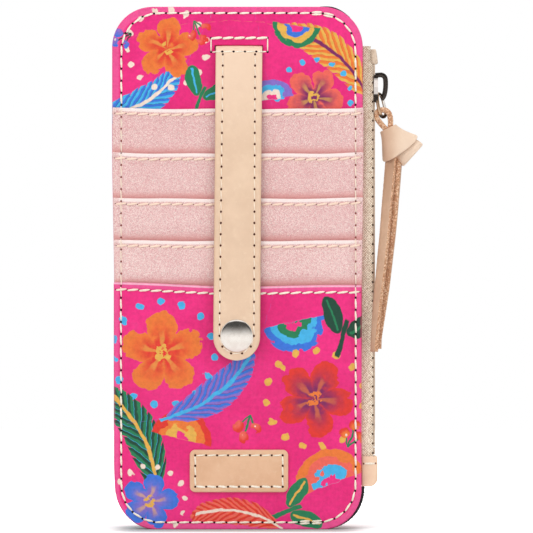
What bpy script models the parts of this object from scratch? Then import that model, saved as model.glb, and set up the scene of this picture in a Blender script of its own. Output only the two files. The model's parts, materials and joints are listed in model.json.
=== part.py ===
"""Card organizer with stepped card pockets, a snap strap and a side zip with a lace pull.

Metres, +Z up. The organizer stands upright with its front towards -Y and its zip on the +X side.
The origin is the middle of the front panel's bottom edge. Depths are measured from the front
panel's middle plane: y grows towards the back.
"""

import math

import bmesh
import bpy
from mathutils import Vector

# Card and clearances
CARD_WIDTH = 0.0856
CARD_SIDE_ROOM = 0.00195
CARD_GAP = 0.0008
CLEARANCE = 0.0003

# Body outline
SEAM_INSET = 0.00325
BODY_HEIGHT = 0.200
CORNER_RADIUS = 0.0155
PANEL_THICKNESS = 0.0012
LINING_THICKNESS = 0.0005

# Zip pocket behind the front panel
CAVITY_DEPTH = 0.0054
RIM_FLAT = 0.0030
RIM_SLOPE = 0.0120
CORNER_CLOSING = 0.0070

# Card pockets, from the upper one down
LOWER_MOUTH = 0.0931
FIRST_MOUTH_DROP = 0.0395
POCKET_STEPS = (1.0, 0.746, 0.490, 0.251)
POCKET_DEPTH = 0.0445
POCKET_THICKNESS = 0.0005
DROP_LENGTH = 0.0055
LOWER_THICKNESS = 0.0009
LOWER_GAP = 0.0010
LOWER_DROP_LENGTH = 0.0260
LONGEST_ROW = 0.030

# Label
LABEL_WIDTH = 0.0376
LABEL_HEIGHT = 0.0162
LABEL_THICKNESS = 0.0011
LABEL_CORNER = 0.0020
LABEL_X = 0.0006
LABEL_BOTTOM = 0.0143

# Strap and its sewn-in end
STRAP_WIDTH = 0.0184
STRAP_OUTER_THICKNESS = 0.0014
STRAP_LINING_THICKNESS = 0.0008
STRAP_LINING_INSET = 0.0002
STRAP_SLACK = 0.0002
SLOT_DROP = 0.0146
SLOT_HEIGHT = 0.0024
FOLD_DROP = 0.0029
ANCHOR_RISE = 0.0041
ANCHOR_THICKNESS = 0.0010
LINING_EASE = 0.0040

# Snap
SNAP_DROP = 0.0192
SNAP_FROM_TIP = 0.0094
SNAP_LANDING = 0.0085
CAP_RADIUS = 0.0060
CAP_DOME = 0.0010
CAP_RIM = 0.0004
RIVET_RADIUS = 0.0010
STUD_BASE_RADIUS = 0.0042
STUD_BASE_THICKNESS = 0.0005
STUD_HEAD_RADIUS = 0.0018
STUD_HEAD_HEIGHT = 0.0015
STUD_WALL = 0.0005
SOCKET_RADIUS = 0.0046
SOCKET_THICKNESS = 0.0015
POST_RADIUS = 0.0032
POST_THICKNESS = 0.0004

# Zip
TAPE_THICKNESS = 0.0005
TAPE_REACH = 0.0040
TAPE_SEAM = 0.0087
TAPE_BEND = 0.0009
TAPE_TOP_DROP = 0.0150
TAB_ABOVE_CORNER = 0.0007
TAB_HEIGHT = 0.0119
TAB_THICKNESS = 0.0010
TAB_CORNER = 0.0030
TAB_BEND = 0.0010
TAPE_TUCK = 0.0018
CHAIN_THICKNESS = 0.0020
TOOTH_PITCH = 0.0028
TOOTH_NECK = 0.0006
TOOTH_NECK_LENGTH = 0.0010
TOOTH_HEAD_LENGTH = 0.0008
CORD_WIDTH = 0.0006
STOP_HEIGHT = 0.0056
STOP_REACH = 0.0029
STOP_OFFSET = 0.0002
TOP_STOP_DROP = 0.0068
BOTTOM_STOP_HEIGHT = 0.0027

# Slider, at rest near the top of its travel
SLIDER_DROP = 0.0146
SLIDER_LENGTH = 0.0104
WING_THICKNESS = 0.0008
FLANGE_WIDTH = 0.0007
INNER_FLANGE_WIDTH = 0.0005
WING_FLARE = 0.0006
POST_HALF_WIDTH = 0.0007
POST_LENGTH = 0.0026
BRIDGE_HEIGHT = 0.0022
BRIDGE_WIDTH = 0.0022
BRIDGE_THICKNESS = 0.0017
BRIDGE_FOOT_THICKNESS = 0.0011

# Link
LINK_WIRE = 0.0006
LINK_LENGTH = 0.00868
LINK_HALF_WIDTH = 0.0030
LINK_TILT = math.radians(11.6)
LINK_CORNER = 0.0014
LINK_ROOM = 0.00045
LINK_RISE = 0.0029

# Lace pull
LACE_WIDTH = 0.0036
LACE_THICKNESS = 0.0020
LOOP_BEND = 0.0018
LOOP_SIDE_SHARES = (0.95, 1.15, 1.2)
LOOP_SIDE_DROPS = (0.0022, 0.0014, 0.0026)
LOOP_FOOT = (-0.0006, -0.0050)

# Knot, from the link's lower bar: offsets in x and z, and rings of (share of its length or step
# past it, half width, half depth)
KNOT_NARROW = (0.0011, -0.0043)
KNOT_WIDE = (0.0056, -0.0124)
KNOT_TILTS = (math.radians(25.6), math.radians(35.8))
KNOT_RINGS = ((0.00, 0.0031, 0.0024), (0.05, 0.00355, 0.0027), (0.35, 0.0046, 0.0033), (0.65, 0.0063, 0.0040),
              (0.92, 0.0079, 0.0046), (1.00, 0.0082, 0.0047), (1.09, 0.0074, 0.0042), (1.14, 0.0056, 0.0032))
WRAP_SHIFT = 0.0009
WRAP_RINGS = ((0.00155, 0.0056, 0.0032), (0.0020, 0.0069, 0.0041), (0.0030, 0.0073, 0.0043),
              (0.0040, 0.0066, 0.0039), (0.0044, 0.0052, 0.0030))

# Tails of the lace, from the link's pivot: offset in x and y, drop, width, thickness and twist in degrees
FRONT_TAIL = ((0.0032, -0.0019, 0.0281, 0.0034, 0.0018, -26.0),
              (0.0028, -0.0023, 0.0335, 0.0034, 0.0018, -27.0),
              (0.0020, -0.0033, 0.0435, 0.0034, 0.0018, -29.0),
              (0.0011, -0.0051, 0.0545, 0.0034, 0.0018, -32.0),
              (0.0003, -0.0064, 0.0635, 0.0035, 0.0018, -35.0),
              (-0.0008, -0.0067, 0.0745, 0.0034, 0.0018, -39.0),
              (-0.0018, -0.0070, 0.0855, 0.0032, 0.0018, -44.0),
              (-0.0024, -0.0073, 0.0945, 0.0029, 0.0018, -50.0),
              (-0.0025, -0.0074, 0.0985, 0.0028, 0.0018, -52.0))
BACK_TAIL = ((0.0068, 0.0001, 0.0281, 0.0036, 0.0020, 80.0),
             (0.0065, -0.0001, 0.0335, 0.0036, 0.0020, 82.0),
             (0.0058, -0.0007, 0.0435, 0.0036, 0.0020, 84.0),
             (0.0048, -0.0015, 0.0545, 0.0036, 0.0020, 84.0),
             (0.0038, -0.0021, 0.0635, 0.0036, 0.0020, 84.0),
             (0.0026, -0.0025, 0.0745, 0.0036, 0.0020, 86.0),
             (0.0011, -0.0027, 0.0855, 0.0035, 0.0019, 88.0),
             (0.0000, -0.0028, 0.0935, 0.0034, 0.0018, 88.0),
             (-0.0001, -0.0028, 0.0975, 0.0033, 0.0018, 88.0))

# Derived sizes
HALF_WIDTH = CARD_WIDTH / 2 + CARD_SIDE_ROOM + SEAM_INSET
POCKET_MOUTHS = [LOWER_MOUTH + (BODY_HEIGHT - FIRST_MOUTH_DROP - LOWER_MOUTH) * step for step in POCKET_STEPS]
LOWER_DROP_TOP = POCKET_MOUTHS[-1] - POCKET_DEPTH + POCKET_THICKNESS
SNAP_HEIGHT = LOWER_MOUTH - SNAP_DROP
STRAP_TIP = SNAP_HEIGHT - SNAP_FROM_TIP
SLOT_TOP = BODY_HEIGHT - SLOT_DROP
STRAP_FOLD = SLOT_TOP - FOLD_DROP
ANCHOR_TOP = SLOT_TOP + ANCHOR_RISE
FRONT_FACE = -PANEL_THICKNESS / 2
FRONT_LINING_Y = PANEL_THICKNESS / 2 + CLEARANCE
CAVITY_FRONT = FRONT_LINING_Y + LINING_THICKNESS
CAVITY_BACK = CAVITY_FRONT + CAVITY_DEPTH
CHAIN_Y = (CAVITY_FRONT + CAVITY_BACK) / 2
PINCH = CAVITY_DEPTH - CLEARANCE
BACK_PANEL_Y = CAVITY_BACK + LINING_THICKNESS + CLEARANCE
BACK_FACE = BACK_PANEL_Y + PANEL_THICKNESS
TAPE_FACE_X = HALF_WIDTH + TAPE_REACH
TAPE_INNER_X = HALF_WIDTH - TAPE_SEAM
CHAIN_X = TAPE_FACE_X - TAPE_THICKNESS / 2
CHAIN_OUTER_X = CHAIN_X + CHAIN_THICKNESS / 2
CHAIN_INNER_X = CHAIN_X - CHAIN_THICKNESS / 2
CHAIN_HALF = CORD_WIDTH + TOOTH_NECK_LENGTH
STRAP_THICKNESS = STRAP_OUTER_THICKNESS + CLEARANCE + STRAP_LINING_THICKNESS
STRAP_SEAT = -FRONT_FACE + CLEARANCE
TAPE_TOP = BODY_HEIGHT - TAPE_TOP_DROP
TAB_BOTTOM = CORNER_RADIUS + TAB_ABOVE_CORNER
TAB_TOP = TAB_BOTTOM + TAB_HEIGHT
TOP_STOP_BOTTOM = TAPE_TOP - TOP_STOP_DROP
SLIDER_BOTTOM = TOP_STOP_BOTTOM - SLIDER_DROP
BOTTOM_STOP_BOTTOM = TAB_TOP + CLEARANCE
BOTTOM_STOP_TOP = BOTTOM_STOP_BOTTOM + BOTTOM_STOP_HEIGHT
SLIDER_TOP = SLIDER_BOTTOM + SLIDER_LENGTH
WING_FACE_X = CHAIN_OUTER_X + CLEARANCE + WING_THICKNESS
PIVOT_X = WING_FACE_X + LINK_WIRE + LINK_ROOM
PIVOT_Z = SLIDER_BOTTOM + LINK_RISE


# Helpers


def material(name, colour, roughness, metallic=0.0):
    """A plain Principled material."""
    made = bpy.data.materials.new(name)
    made.use_nodes = True
    shader = made.node_tree.nodes["Principled BSDF"]
    shader.inputs["Base Color"].default_value = (*colour, 1.0)
    shader.inputs["Roughness"].default_value = roughness
    shader.inputs["Metallic"].default_value = metallic
    made.diffuse_color = (*colour, 1.0)
    return made


def smooth_step(value, low, high):
    """0 below low, 1 above high, and an even S-curve between them."""
    share = min(max((value - low) / (high - low), 0.0), 1.0)
    return share * share * (3.0 - 2.0 * share)


def solid(name, corners, faces, finish, rounded=False, crease=35.0):
    """An object with outward faces, in world coordinates."""
    mesh = bpy.data.meshes.new(name)
    shape = bmesh.new()
    points = [shape.verts.new(corner) for corner in corners]
    for face in faces:
        shape.faces.new([points[index] for index in face])
    bmesh.ops.recalc_face_normals(shape, faces=shape.faces)
    shape.to_mesh(mesh)
    shape.free()
    if rounded:
        mesh.shade_smooth()
        mesh.set_sharp_from_angle(angle=math.radians(crease))
    made = bpy.data.objects.new(name, mesh)
    made.data.materials.append(finish)
    bpy.context.scene.collection.objects.link(made)
    return made


def loft(name, rings, finish, closed=False, rounded=False):
    """A solid through rings of equally many points, capped at both ends unless it closes on itself."""
    count = len(rings[0])
    corners = [point for ring in rings for point in ring]
    faces = []
    spans = len(rings) if closed else len(rings) - 1
    for row in range(spans):
        low = row * count
        high = (row + 1) % len(rings) * count
        for column in range(count):
            after = (column + 1) % count
            faces.append((low + column, low + after, high + after, high + column))
    if not closed:
        faces.append(tuple(reversed(range(count))))
        faces.append(tuple(range(len(corners) - count, len(corners))))
    return solid(name, corners, faces, finish, rounded)


def extrude(name, outline, place, low, high, finish):
    """A prism: place(u, v, w) turns an outline point and a height into a position."""
    rings = [[place(u, v, height) for u, v in outline] for height in (low, high)]
    return loft(name, rings, finish)


def lathe(name, profile, centre_x, centre_z, finish, steps=28):
    """A body turned about a line along Y. Profile points are (radius, depth in front of the body)."""
    rings = []
    for radius, depth in profile:
        if radius == 0.0:
            rings.append([(centre_x, -depth, centre_z)])
            continue
        ring = []
        for step in range(steps):
            angle = math.tau * step / steps
            ring.append((centre_x + radius * math.cos(angle), -depth, centre_z + radius * math.sin(angle)))
        rings.append(ring)
    corners = [point for ring in rings for point in ring]
    starts = [sum(len(ring) for ring in rings[:index]) for index in range(len(rings))]
    faces = []
    spans = len(rings) if len(rings[0]) > 1 else len(rings) - 1
    for index in range(spans):
        after = (index + 1) % len(rings)
        low, high = starts[index], starts[after]
        for step in range(steps):
            turn = (step + 1) % steps
            if len(rings[index]) == 1:
                faces.append((low, high + step, high + turn))
            elif len(rings[after]) == 1:
                faces.append((low + step, low + turn, high))
            else:
                faces.append((low + step, low + turn, high + turn, high + step))
    return solid(name, corners, faces, finish, rounded=True, crease=30.0)


def sweep(name, path, section, normal, finish, closed=False, scales=None, rounded=False):
    """A section (across, along the normal) carried along a flat path, mitred at each bend."""
    rings = []
    for index, point in enumerate(path):
        if closed:
            before, after = path[index - 1], path[(index + 1) % len(path)]
        else:
            before, after = path[max(index - 1, 0)], path[min(index + 1, len(path) - 1)]
        arriving = (point - before).normalized() if point != before else (after - point).normalized()
        leaving = (after - point).normalized() if after != point else arriving
        forward = (arriving + leaving).normalized()
        across = normal.cross(forward)
        mitre = 1.0 / max(forward.dot(arriving), 0.5)
        scale = scales[index] if scales else 1.0
        rings.append([point + across * (u * scale * mitre) + normal * v for u, v in section])
    return loft(name, rings, finish, closed=closed, rounded=rounded)


def cut(target, name, corner_low, corner_high):
    """Cuts a box out of an object."""
    corners = [(x, y, z) for z in (corner_low[2], corner_high[2])
               for y in (corner_low[1], corner_high[1]) for x in (corner_low[0], corner_high[0])]
    faces = [(0, 2, 3, 1), (4, 5, 7, 6), (0, 1, 5, 4), (2, 6, 7, 3), (0, 4, 6, 2), (1, 3, 7, 5)]
    subtract(target, solid(name, corners, faces, target.data.materials[0]))


def drill(target, name, radius, centre_x, centre_z, front, back):
    """Cuts a round hole along Y."""
    profile = [(0.0, front), (radius, front), (radius, back), (0.0, back)]
    subtract(target, lathe(name, profile, centre_x, centre_z, target.data.materials[0], steps=16))


def subtract(target, cutter):
    """Keeps a cutter as a hidden wire guide and takes it from the target."""
    cutter.hide_render = True
    cutter.display_type = "WIRE"
    boolean = target.modifiers.new(cutter.name, "BOOLEAN")
    boolean.operation = "DIFFERENCE"
    boolean.solver = "EXACT"
    boolean.object = cutter


def fuse(target, piece):
    """Joins a piece to the target as one body."""
    piece.hide_render = True
    piece.display_type = "WIRE"
    boolean = target.modifiers.new(piece.name, "BOOLEAN")
    boolean.operation = "UNION"
    boolean.solver = "EXACT"
    boolean.object = piece


def rounded_outline(low_u, high_u, low_v, high_v, radius, steps=5):
    """A rounded rectangle, anticlockwise."""
    outline = []
    corners = [(high_u - radius, high_v - radius, 0.0), (low_u + radius, high_v - radius, 90.0),
               (low_u + radius, low_v + radius, 180.0), (high_u - radius, low_v + radius, 270.0)]
    for centre_u, centre_v, start in corners:
        for step in range(steps + 1):
            angle = math.radians(start + 90.0 * step / steps)
            outline.append((centre_u + radius * math.cos(angle), centre_v + radius * math.sin(angle)))
    return outline


# Sheets


def half_width_at(z, inset=0.0):
    """Half the body's width at a height, inside its rounded corners."""
    radius = CORNER_RADIUS - inset
    from_end = min(z - inset, BODY_HEIGHT - inset - z)
    drop = radius - min(max(from_end, 0.0), radius)
    return HALF_WIDTH - inset - radius + math.sqrt(radius * radius - drop * drop)


def corner_rows(inset=0.0, steps=6):
    """Heights above an edge that follow a rounded corner."""
    radius = CORNER_RADIUS - inset
    return [radius * (1.0 - math.cos(math.radians(90.0 * step / steps))) for step in range(steps + 1)]


def tidy_rows(low, high, stations, longest):
    """Sorted heights from low to high through the stations, with no span longer than asked."""
    kept = sorted(z for z in set(stations) | {low, high} if low <= z <= high)
    rows = [kept[0]]
    for z in kept[1:]:
        if z - rows[-1] < CLEARANCE and z < high:
            continue
        spans = max(1, math.ceil((z - rows[-1]) / longest - 1e-6))
        start = rows[-1]
        rows += [start + (z - start) * step / spans for step in range(1, spans + 1)]
    return rows


def sheet(name, rows, columns_at, front_at, thickness, finish):
    """A closed sheet through rows of heights. front_at(x, z) gives the y of its front surface."""
    rings = [[(x, front_at(x, z), z) for x in columns_at(z)] for z in rows]
    count = len(rings[0])
    corners = [point for ring in rings for point in ring]
    back = len(corners)
    corners += [(x, y + thickness, z) for x, y, z in corners]
    faces = []
    for row in range(len(rows) - 1):
        for column in range(count - 1):
            first = row * count + column
            quad = (first, first + 1, first + count + 1, first + count)
            faces.append(quad)
            faces.append(tuple(back + index for index in reversed(quad)))
    last = (len(rows) - 1) * count
    for start in (0, last):
        for first in range(start, start + count - 1):
            faces.append((first, first + 1, back + first + 1, back + first))
    for row in range(len(rows) - 1):
        for start in (row * count, row * count + count - 1):
            faces.append((start, start + count, back + start + count, back + start))
    return solid(name, corners, faces, finish)


def mirrored(places):
    """Places from the centre out, on both sides."""
    return [-place for place in reversed(places)] + [0.0] + list(places)


def stretched_columns(places, inset=0.0):
    """Columns that keep their shares of the width inside the rounded corners."""
    full = HALF_WIDTH - inset

    def columns_at(z):
        scale = half_width_at(z, inset) / full
        return [place * scale for place in places]

    return columns_at


def pocket_bottom(index):
    """Height of a card pocket's lower edge."""
    return POCKET_MOUTHS[index] - POCKET_DEPTH


def side_ease(x):
    """0 at the sewn side seams, 1 over the card's width."""
    return 1.0 - smooth_step(abs(x), CARD_WIDTH / 2, CARD_WIDTH / 2 + CARD_SIDE_ROOM)


def card_room(x):
    """Room between two sheets, for one card, pinched shut at the side seams."""
    return CLEARANCE + (CARD_GAP - CLEARANCE) * side_ease(x)


def level(index, z):
    """How many card pockets lie behind a pocket at a height; it drops below each one's lower edge."""
    return sum(smooth_step(z, pocket_bottom(behind) - DROP_LENGTH, pocket_bottom(behind) - CLEARANCE)
               for behind in range(index))


def pocket_front(index, x, z):
    """Depth of a card pocket's front surface in front of the body's middle plane."""
    bottom = pocket_bottom(index)
    own_room = CLEARANCE + (card_room(x) - CLEARANCE) * smooth_step(z, bottom, bottom + DROP_LENGTH)
    behind = level(index, z) * (POCKET_THICKNESS + card_room(x))
    return -FRONT_FACE + own_room + behind + POCKET_THICKNESS


def lower_front(x, z):
    """Depth of the lower pocket's front surface."""
    drop_end = LOWER_DROP_TOP - LOWER_DROP_LENGTH
    lift = smooth_step(z, drop_end, LOWER_DROP_TOP)
    stack = level(len(POCKET_MOUTHS), LOWER_MOUTH) * (POCKET_THICKNESS + card_room(x))
    room = CLEARANCE + (LOWER_GAP - CLEARANCE) * side_ease(x) * lift
    return -FRONT_FACE + room + stack * lift + LOWER_THICKNESS


def pillow_lift(x, z):
    """How far the back stands off the pinched rim, from 0 to 1. The zip's side stays open."""
    left = smooth_step(x + HALF_WIDTH, RIM_FLAT, RIM_FLAT + RIM_SLOPE)
    bottom = smooth_step(z, RIM_FLAT, RIM_FLAT + RIM_SLOPE)
    top = smooth_step(BODY_HEIGHT - z, RIM_FLAT, RIM_FLAT + RIM_SLOPE)
    at_side = smooth_step(x, HALF_WIDTH - RIM_SLOPE, HALF_WIDTH - RIM_FLAT)
    above = smooth_step(z, TAPE_TOP, TAPE_TOP + CORNER_CLOSING)
    below = smooth_step(TAB_BOTTOM - z, 0.0, CORNER_CLOSING)
    return left * bottom * top * (1.0 - at_side * max(above, below))


def body_rows(inset=0.0, extra=(), longest=0.060):
    """Heights of a full-height sheet's rows."""
    ends = corner_rows(inset)
    stations = [inset + rise for rise in ends] + [BODY_HEIGHT - inset - rise for rise in ends]
    return tidy_rows(inset, BODY_HEIGHT - inset, stations + list(extra), longest)


def make_front_panel(finish):
    """The printed front, with the slot for the strap."""
    panel = sheet("front_panel", body_rows(), stretched_columns(mirrored([HALF_WIDTH])),
                  lambda x, z: FRONT_FACE, PANEL_THICKNESS, finish)
    side = STRAP_WIDTH / 2 + CLEARANCE
    slot_bottom = SLOT_TOP - SLOT_HEIGHT
    cut(panel, "strap_slot", (-side, -PANEL_THICKNESS, slot_bottom), (side, PANEL_THICKNESS, SLOT_TOP))


def make_front_lining(finish):
    """The lining behind the front, eased over the strap's sewn-in end."""
    inset = CLEARANCE
    right = TAPE_INNER_X - CLEARANCE
    bump_side = STRAP_WIDTH / 2 + CLEARANCE
    bump_low = SLOT_TOP - SLOT_HEIGHT - CLEARANCE
    bump_high = ANCHOR_TOP + CLEARANCE
    ease = LINING_EASE

    def bump(x, z):
        sides = 1.0 - smooth_step(abs(x), bump_side, bump_side + ease)
        below = smooth_step(z, bump_low - ease, bump_low)
        above = smooth_step(z, bump_high, bump_high + ease)
        return (ANCHOR_THICKNESS + CLEARANCE) * sides * below * (1.0 - above)

    def columns_at(z):
        reach = half_width_at(z, inset)
        inner = [-bump_side - ease, -bump_side - ease / 2, -bump_side, 0.0,
                 bump_side, bump_side + ease / 2, bump_side + ease]
        return [-reach] + inner + [min(reach, right)]

    stations = [bump_low - ease * share for share in (1.0, 0.5, 0.0)]
    stations += [bump_high + ease * share for share in (0.0, 0.5, 1.0)]
    sheet("front_lining", body_rows(inset, stations, longest=0.100), columns_at,
          lambda x, z: FRONT_LINING_Y + bump(x, z), LINING_THICKNESS, finish)


def pillow_columns(right, inset=0.0):
    """Columns of the back's sheets: close over the slopes, wide over the flat."""
    slope = [RIM_FLAT + RIM_SLOPE * share for share in (0.0, 0.25, 0.5, 0.75, 1.0)]

    def columns_at(z):
        reach = half_width_at(z, inset)
        limit = min(reach, right)
        scale = reach / (HALF_WIDTH - inset)
        left = [-HALF_WIDTH + width for width in slope]
        closing = [HALF_WIDTH - RIM_SLOPE, HALF_WIDTH - (RIM_SLOPE + RIM_FLAT) / 2, HALF_WIDTH - RIM_FLAT]
        if right < HALF_WIDTH:
            closing = [right * 0.5, right * 0.75, right * 0.9]
        middle = [x * scale for x in left + [0.0] + closing]
        return [-reach] + [min(x, limit - CLEARANCE) for x in middle] + [limit]

    return columns_at


def pillow_rows(inset):
    """Rows of the back's sheets."""
    slope = [RIM_FLAT + RIM_SLOPE * share for share in (0.0, 0.25, 0.5, 0.75, 1.0)]
    stations = slope + [BODY_HEIGHT - rise for rise in slope]
    stations += [TAB_BOTTOM - CORNER_CLOSING * share for share in (0.0, 0.5, 1.0)]
    stations += [TAPE_TOP + CORNER_CLOSING * share for share in (0.0, 0.5, 1.0)]
    return body_rows(inset, stations, longest=0.090)


def make_back(outer_finish, lining_finish):
    """The printed back and its lining, pillowed over the zip pocket."""
    sheet("back_panel", pillow_rows(0.0), pillow_columns(HALF_WIDTH),
          lambda x, z: BACK_PANEL_Y - PINCH * (1.0 - pillow_lift(x, z)), PANEL_THICKNESS, outer_finish)
    sheet("back_lining", pillow_rows(CLEARANCE), pillow_columns(TAPE_INNER_X - CLEARANCE, CLEARANCE),
          lambda x, z: CAVITY_BACK - PINCH * (1.0 - pillow_lift(x, z)), LINING_THICKNESS, lining_finish)


def pocket_columns():
    """Columns of the pockets: close over the side seams, wide over the cards."""
    card = CARD_WIDTH / 2
    return mirrored([card / 2, card, card + CARD_SIDE_ROOM / 2, card + CARD_SIDE_ROOM, HALF_WIDTH])


def make_card_pockets(finish):
    """Four stepped sheets, each seated on what lies behind it along its lower edge."""
    places = pocket_columns()
    for index, mouth in enumerate(POCKET_MOUTHS):
        bottom = pocket_bottom(index)
        stations = [bottom + DROP_LENGTH * share for share in (0.5, 1.0)]
        for behind in range(index):
            edge = pocket_bottom(behind)
            stations += [edge - DROP_LENGTH * share for share in (1.0, 0.75, 0.5, 0.25)] + [edge - CLEARANCE]
        rows = tidy_rows(bottom, mouth, stations, LONGEST_ROW)
        sheet("card_pocket_%d" % (index + 1), rows, lambda z: places,
              lambda x, z, which=index: -pocket_front(which, x, z), POCKET_THICKNESS, finish)


def make_lower_pocket(finish):
    """The printed pocket over the lower half, with the body's rounded lower corners."""
    drop_end = LOWER_DROP_TOP - LOWER_DROP_LENGTH
    stations = corner_rows() + [drop_end + LOWER_DROP_LENGTH * step / 6 for step in range(7)]
    rows = tidy_rows(0.0, LOWER_MOUTH, stations, LONGEST_ROW)
    pocket = sheet("lower_pocket", rows, stretched_columns(pocket_columns()),
                   lambda x, z: -lower_front(x, z), LOWER_THICKNESS, finish)
    depth = lower_front(0.0, SNAP_HEIGHT)
    drill(pocket, "post_hole", RIVET_RADIUS + CLEARANCE, 0.0, SNAP_HEIGHT,
          depth + CLEARANCE, depth - LOWER_THICKNESS - CLEARANCE)


def make_label(finish):
    """The bare leather label on the lower pocket."""
    back = lower_front(0.0, LABEL_BOTTOM) + CLEARANCE
    outline = rounded_outline(LABEL_X - LABEL_WIDTH / 2, LABEL_X + LABEL_WIDTH / 2,
                              LABEL_BOTTOM, LABEL_BOTTOM + LABEL_HEIGHT, LABEL_CORNER)
    extrude("label_patch", outline, lambda x, z, depth: (x, -depth, z), back, back + LABEL_THICKNESS, finish)


# Strap and snap


def snap_depths():
    """Depths of the snap's layers at the snap's height."""
    stud_back = lower_front(0.0, SNAP_HEIGHT) + CLEARANCE
    socket_back = stud_back + STUD_BASE_THICKNESS + CLEARANCE
    strap_back = socket_back + SOCKET_THICKNESS + CLEARANCE
    return stud_back, socket_back, strap_back


def strap_stations():
    """Heights and depths that the strap's back passes through: it rests on the mouths and the snap."""
    stud_back, socket_back, strap_back = snap_depths()
    over = CLEARANCE + STRAP_SLACK
    stations = [(STRAP_FOLD, STRAP_SEAT)]
    for index, mouth in enumerate(POCKET_MOUTHS):
        stations.append((mouth, pocket_front(index, 0.0, mouth) + over))
    stations.append((LOWER_MOUTH, lower_front(0.0, LOWER_MOUTH) + over))
    stations.append((SNAP_HEIGHT + SNAP_LANDING, strap_back))
    stations.append((STRAP_TIP, strap_back))
    return stations


def strap_back_at(z):
    """Depth of the strap's back: a smooth curve through its stations that never turns back."""
    stations = strap_stations()
    pairs = list(zip(stations, stations[1:]))
    slopes = [(after[1] - before[1]) / (before[0] - after[0]) for before, after in pairs]
    tangents = [slopes[0]]
    for before, after in zip(slopes, slopes[1:]):
        tangents.append(0.0 if before * after <= 0.0 else 2.0 * before * after / (before + after))
    tangents.append(0.0)
    for index, (before, after) in enumerate(pairs):
        if z >= after[0] or index == len(slopes) - 1:
            span = before[0] - after[0]
            share = min(max((before[0] - z) / span, 0.0), 1.0)
            square, cube = share * share, share ** 3
            arriving = (cube - 2 * square + share) * span * tangents[index]
            leaving = (cube - square) * span * tangents[index + 1]
            step = (after[1] - before[1]) * (3 * square - 2 * cube)
            return before[1] + step + arriving + leaving
    return stations[-1][1]


def strap_rows(inset):
    """Heights of the strap's rows, close round its tip."""
    radius = STRAP_WIDTH / 2 - inset
    tip = STRAP_TIP + inset
    stations = [tip + radius * (1.0 - math.cos(math.radians(15.0 * step))) for step in range(7)]
    stations += [station[0] for station in strap_stations()]
    return tidy_rows(tip, STRAP_FOLD - CLEARANCE, stations, 0.009)


def strap_columns(inset):
    """The strap's edges and centre, drawn in round its tip."""
    radius = STRAP_WIDTH / 2 - inset
    tip = STRAP_TIP + inset

    def columns_at(z):
        drop = radius - min(max(z - tip, radius * 0.01), radius)
        reach = math.sqrt(radius * radius - drop * drop)
        return [-reach, -reach / 2, 0.0, reach / 2, reach]

    return columns_at


def make_strap(finish, lining_finish):
    """Two layers of leather from the fold at the slot to the rounded tip."""
    inset = STRAP_LINING_INSET
    inner = STRAP_LINING_THICKNESS
    outer_step = inner + CLEARANCE
    lining = sheet("strap_lining", strap_rows(inset), strap_columns(inset),
                   lambda x, z: -strap_back_at(z) - inner, inner, lining_finish)
    outer = sheet("strap_outer", strap_rows(0.0), strap_columns(0.0),
                  lambda x, z: -strap_back_at(z) - outer_step - STRAP_OUTER_THICKNESS,
                  STRAP_OUTER_THICKNESS, finish)
    back = strap_back_at(SNAP_HEIGHT)
    hole = RIVET_RADIUS + CLEARANCE
    drill(lining, "lining_hole", hole, 0.0, SNAP_HEIGHT, back + inner + CLEARANCE / 2, back - CLEARANCE / 2)
    drill(outer, "strap_hole", hole, 0.0, SNAP_HEIGHT,
          back + STRAP_THICKNESS + CLEARANCE, back + outer_step - CLEARANCE / 2)


def make_strap_anchor(finish):
    """The strap's sewn-in end: down the front, through the slot and up behind the panel."""
    front = STRAP_SEAT + STRAP_THICKNESS
    slot_low = SLOT_TOP - SLOT_HEIGHT + CLEARANCE
    slot_high = SLOT_TOP - CLEARANCE
    behind = PANEL_THICKNESS / 2 + CLEARANCE
    ring = ANCHOR_THICKNESS
    outline = [
        (STRAP_SEAT, STRAP_FOLD),
        (front, STRAP_FOLD),
        (front, slot_low + 0.0006),
        (front - 0.0005, slot_low + 0.0012),
        (front - 0.0013, slot_high - 0.0001),
        (-FRONT_FACE, slot_high),
        (-behind, slot_high),
        (-behind, ANCHOR_TOP),
        (-behind - ring, ANCHOR_TOP),
        (-behind - ring, slot_low + 0.0005),
        (-behind - ring / 2, slot_low),
        (-FRONT_FACE, slot_low),
        (STRAP_SEAT, slot_low - 0.0001),
    ]
    side = STRAP_WIDTH / 2
    extrude("strap_anchor", outline, lambda depth, z, x: (x, -depth, z), -side, side, finish)


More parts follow.
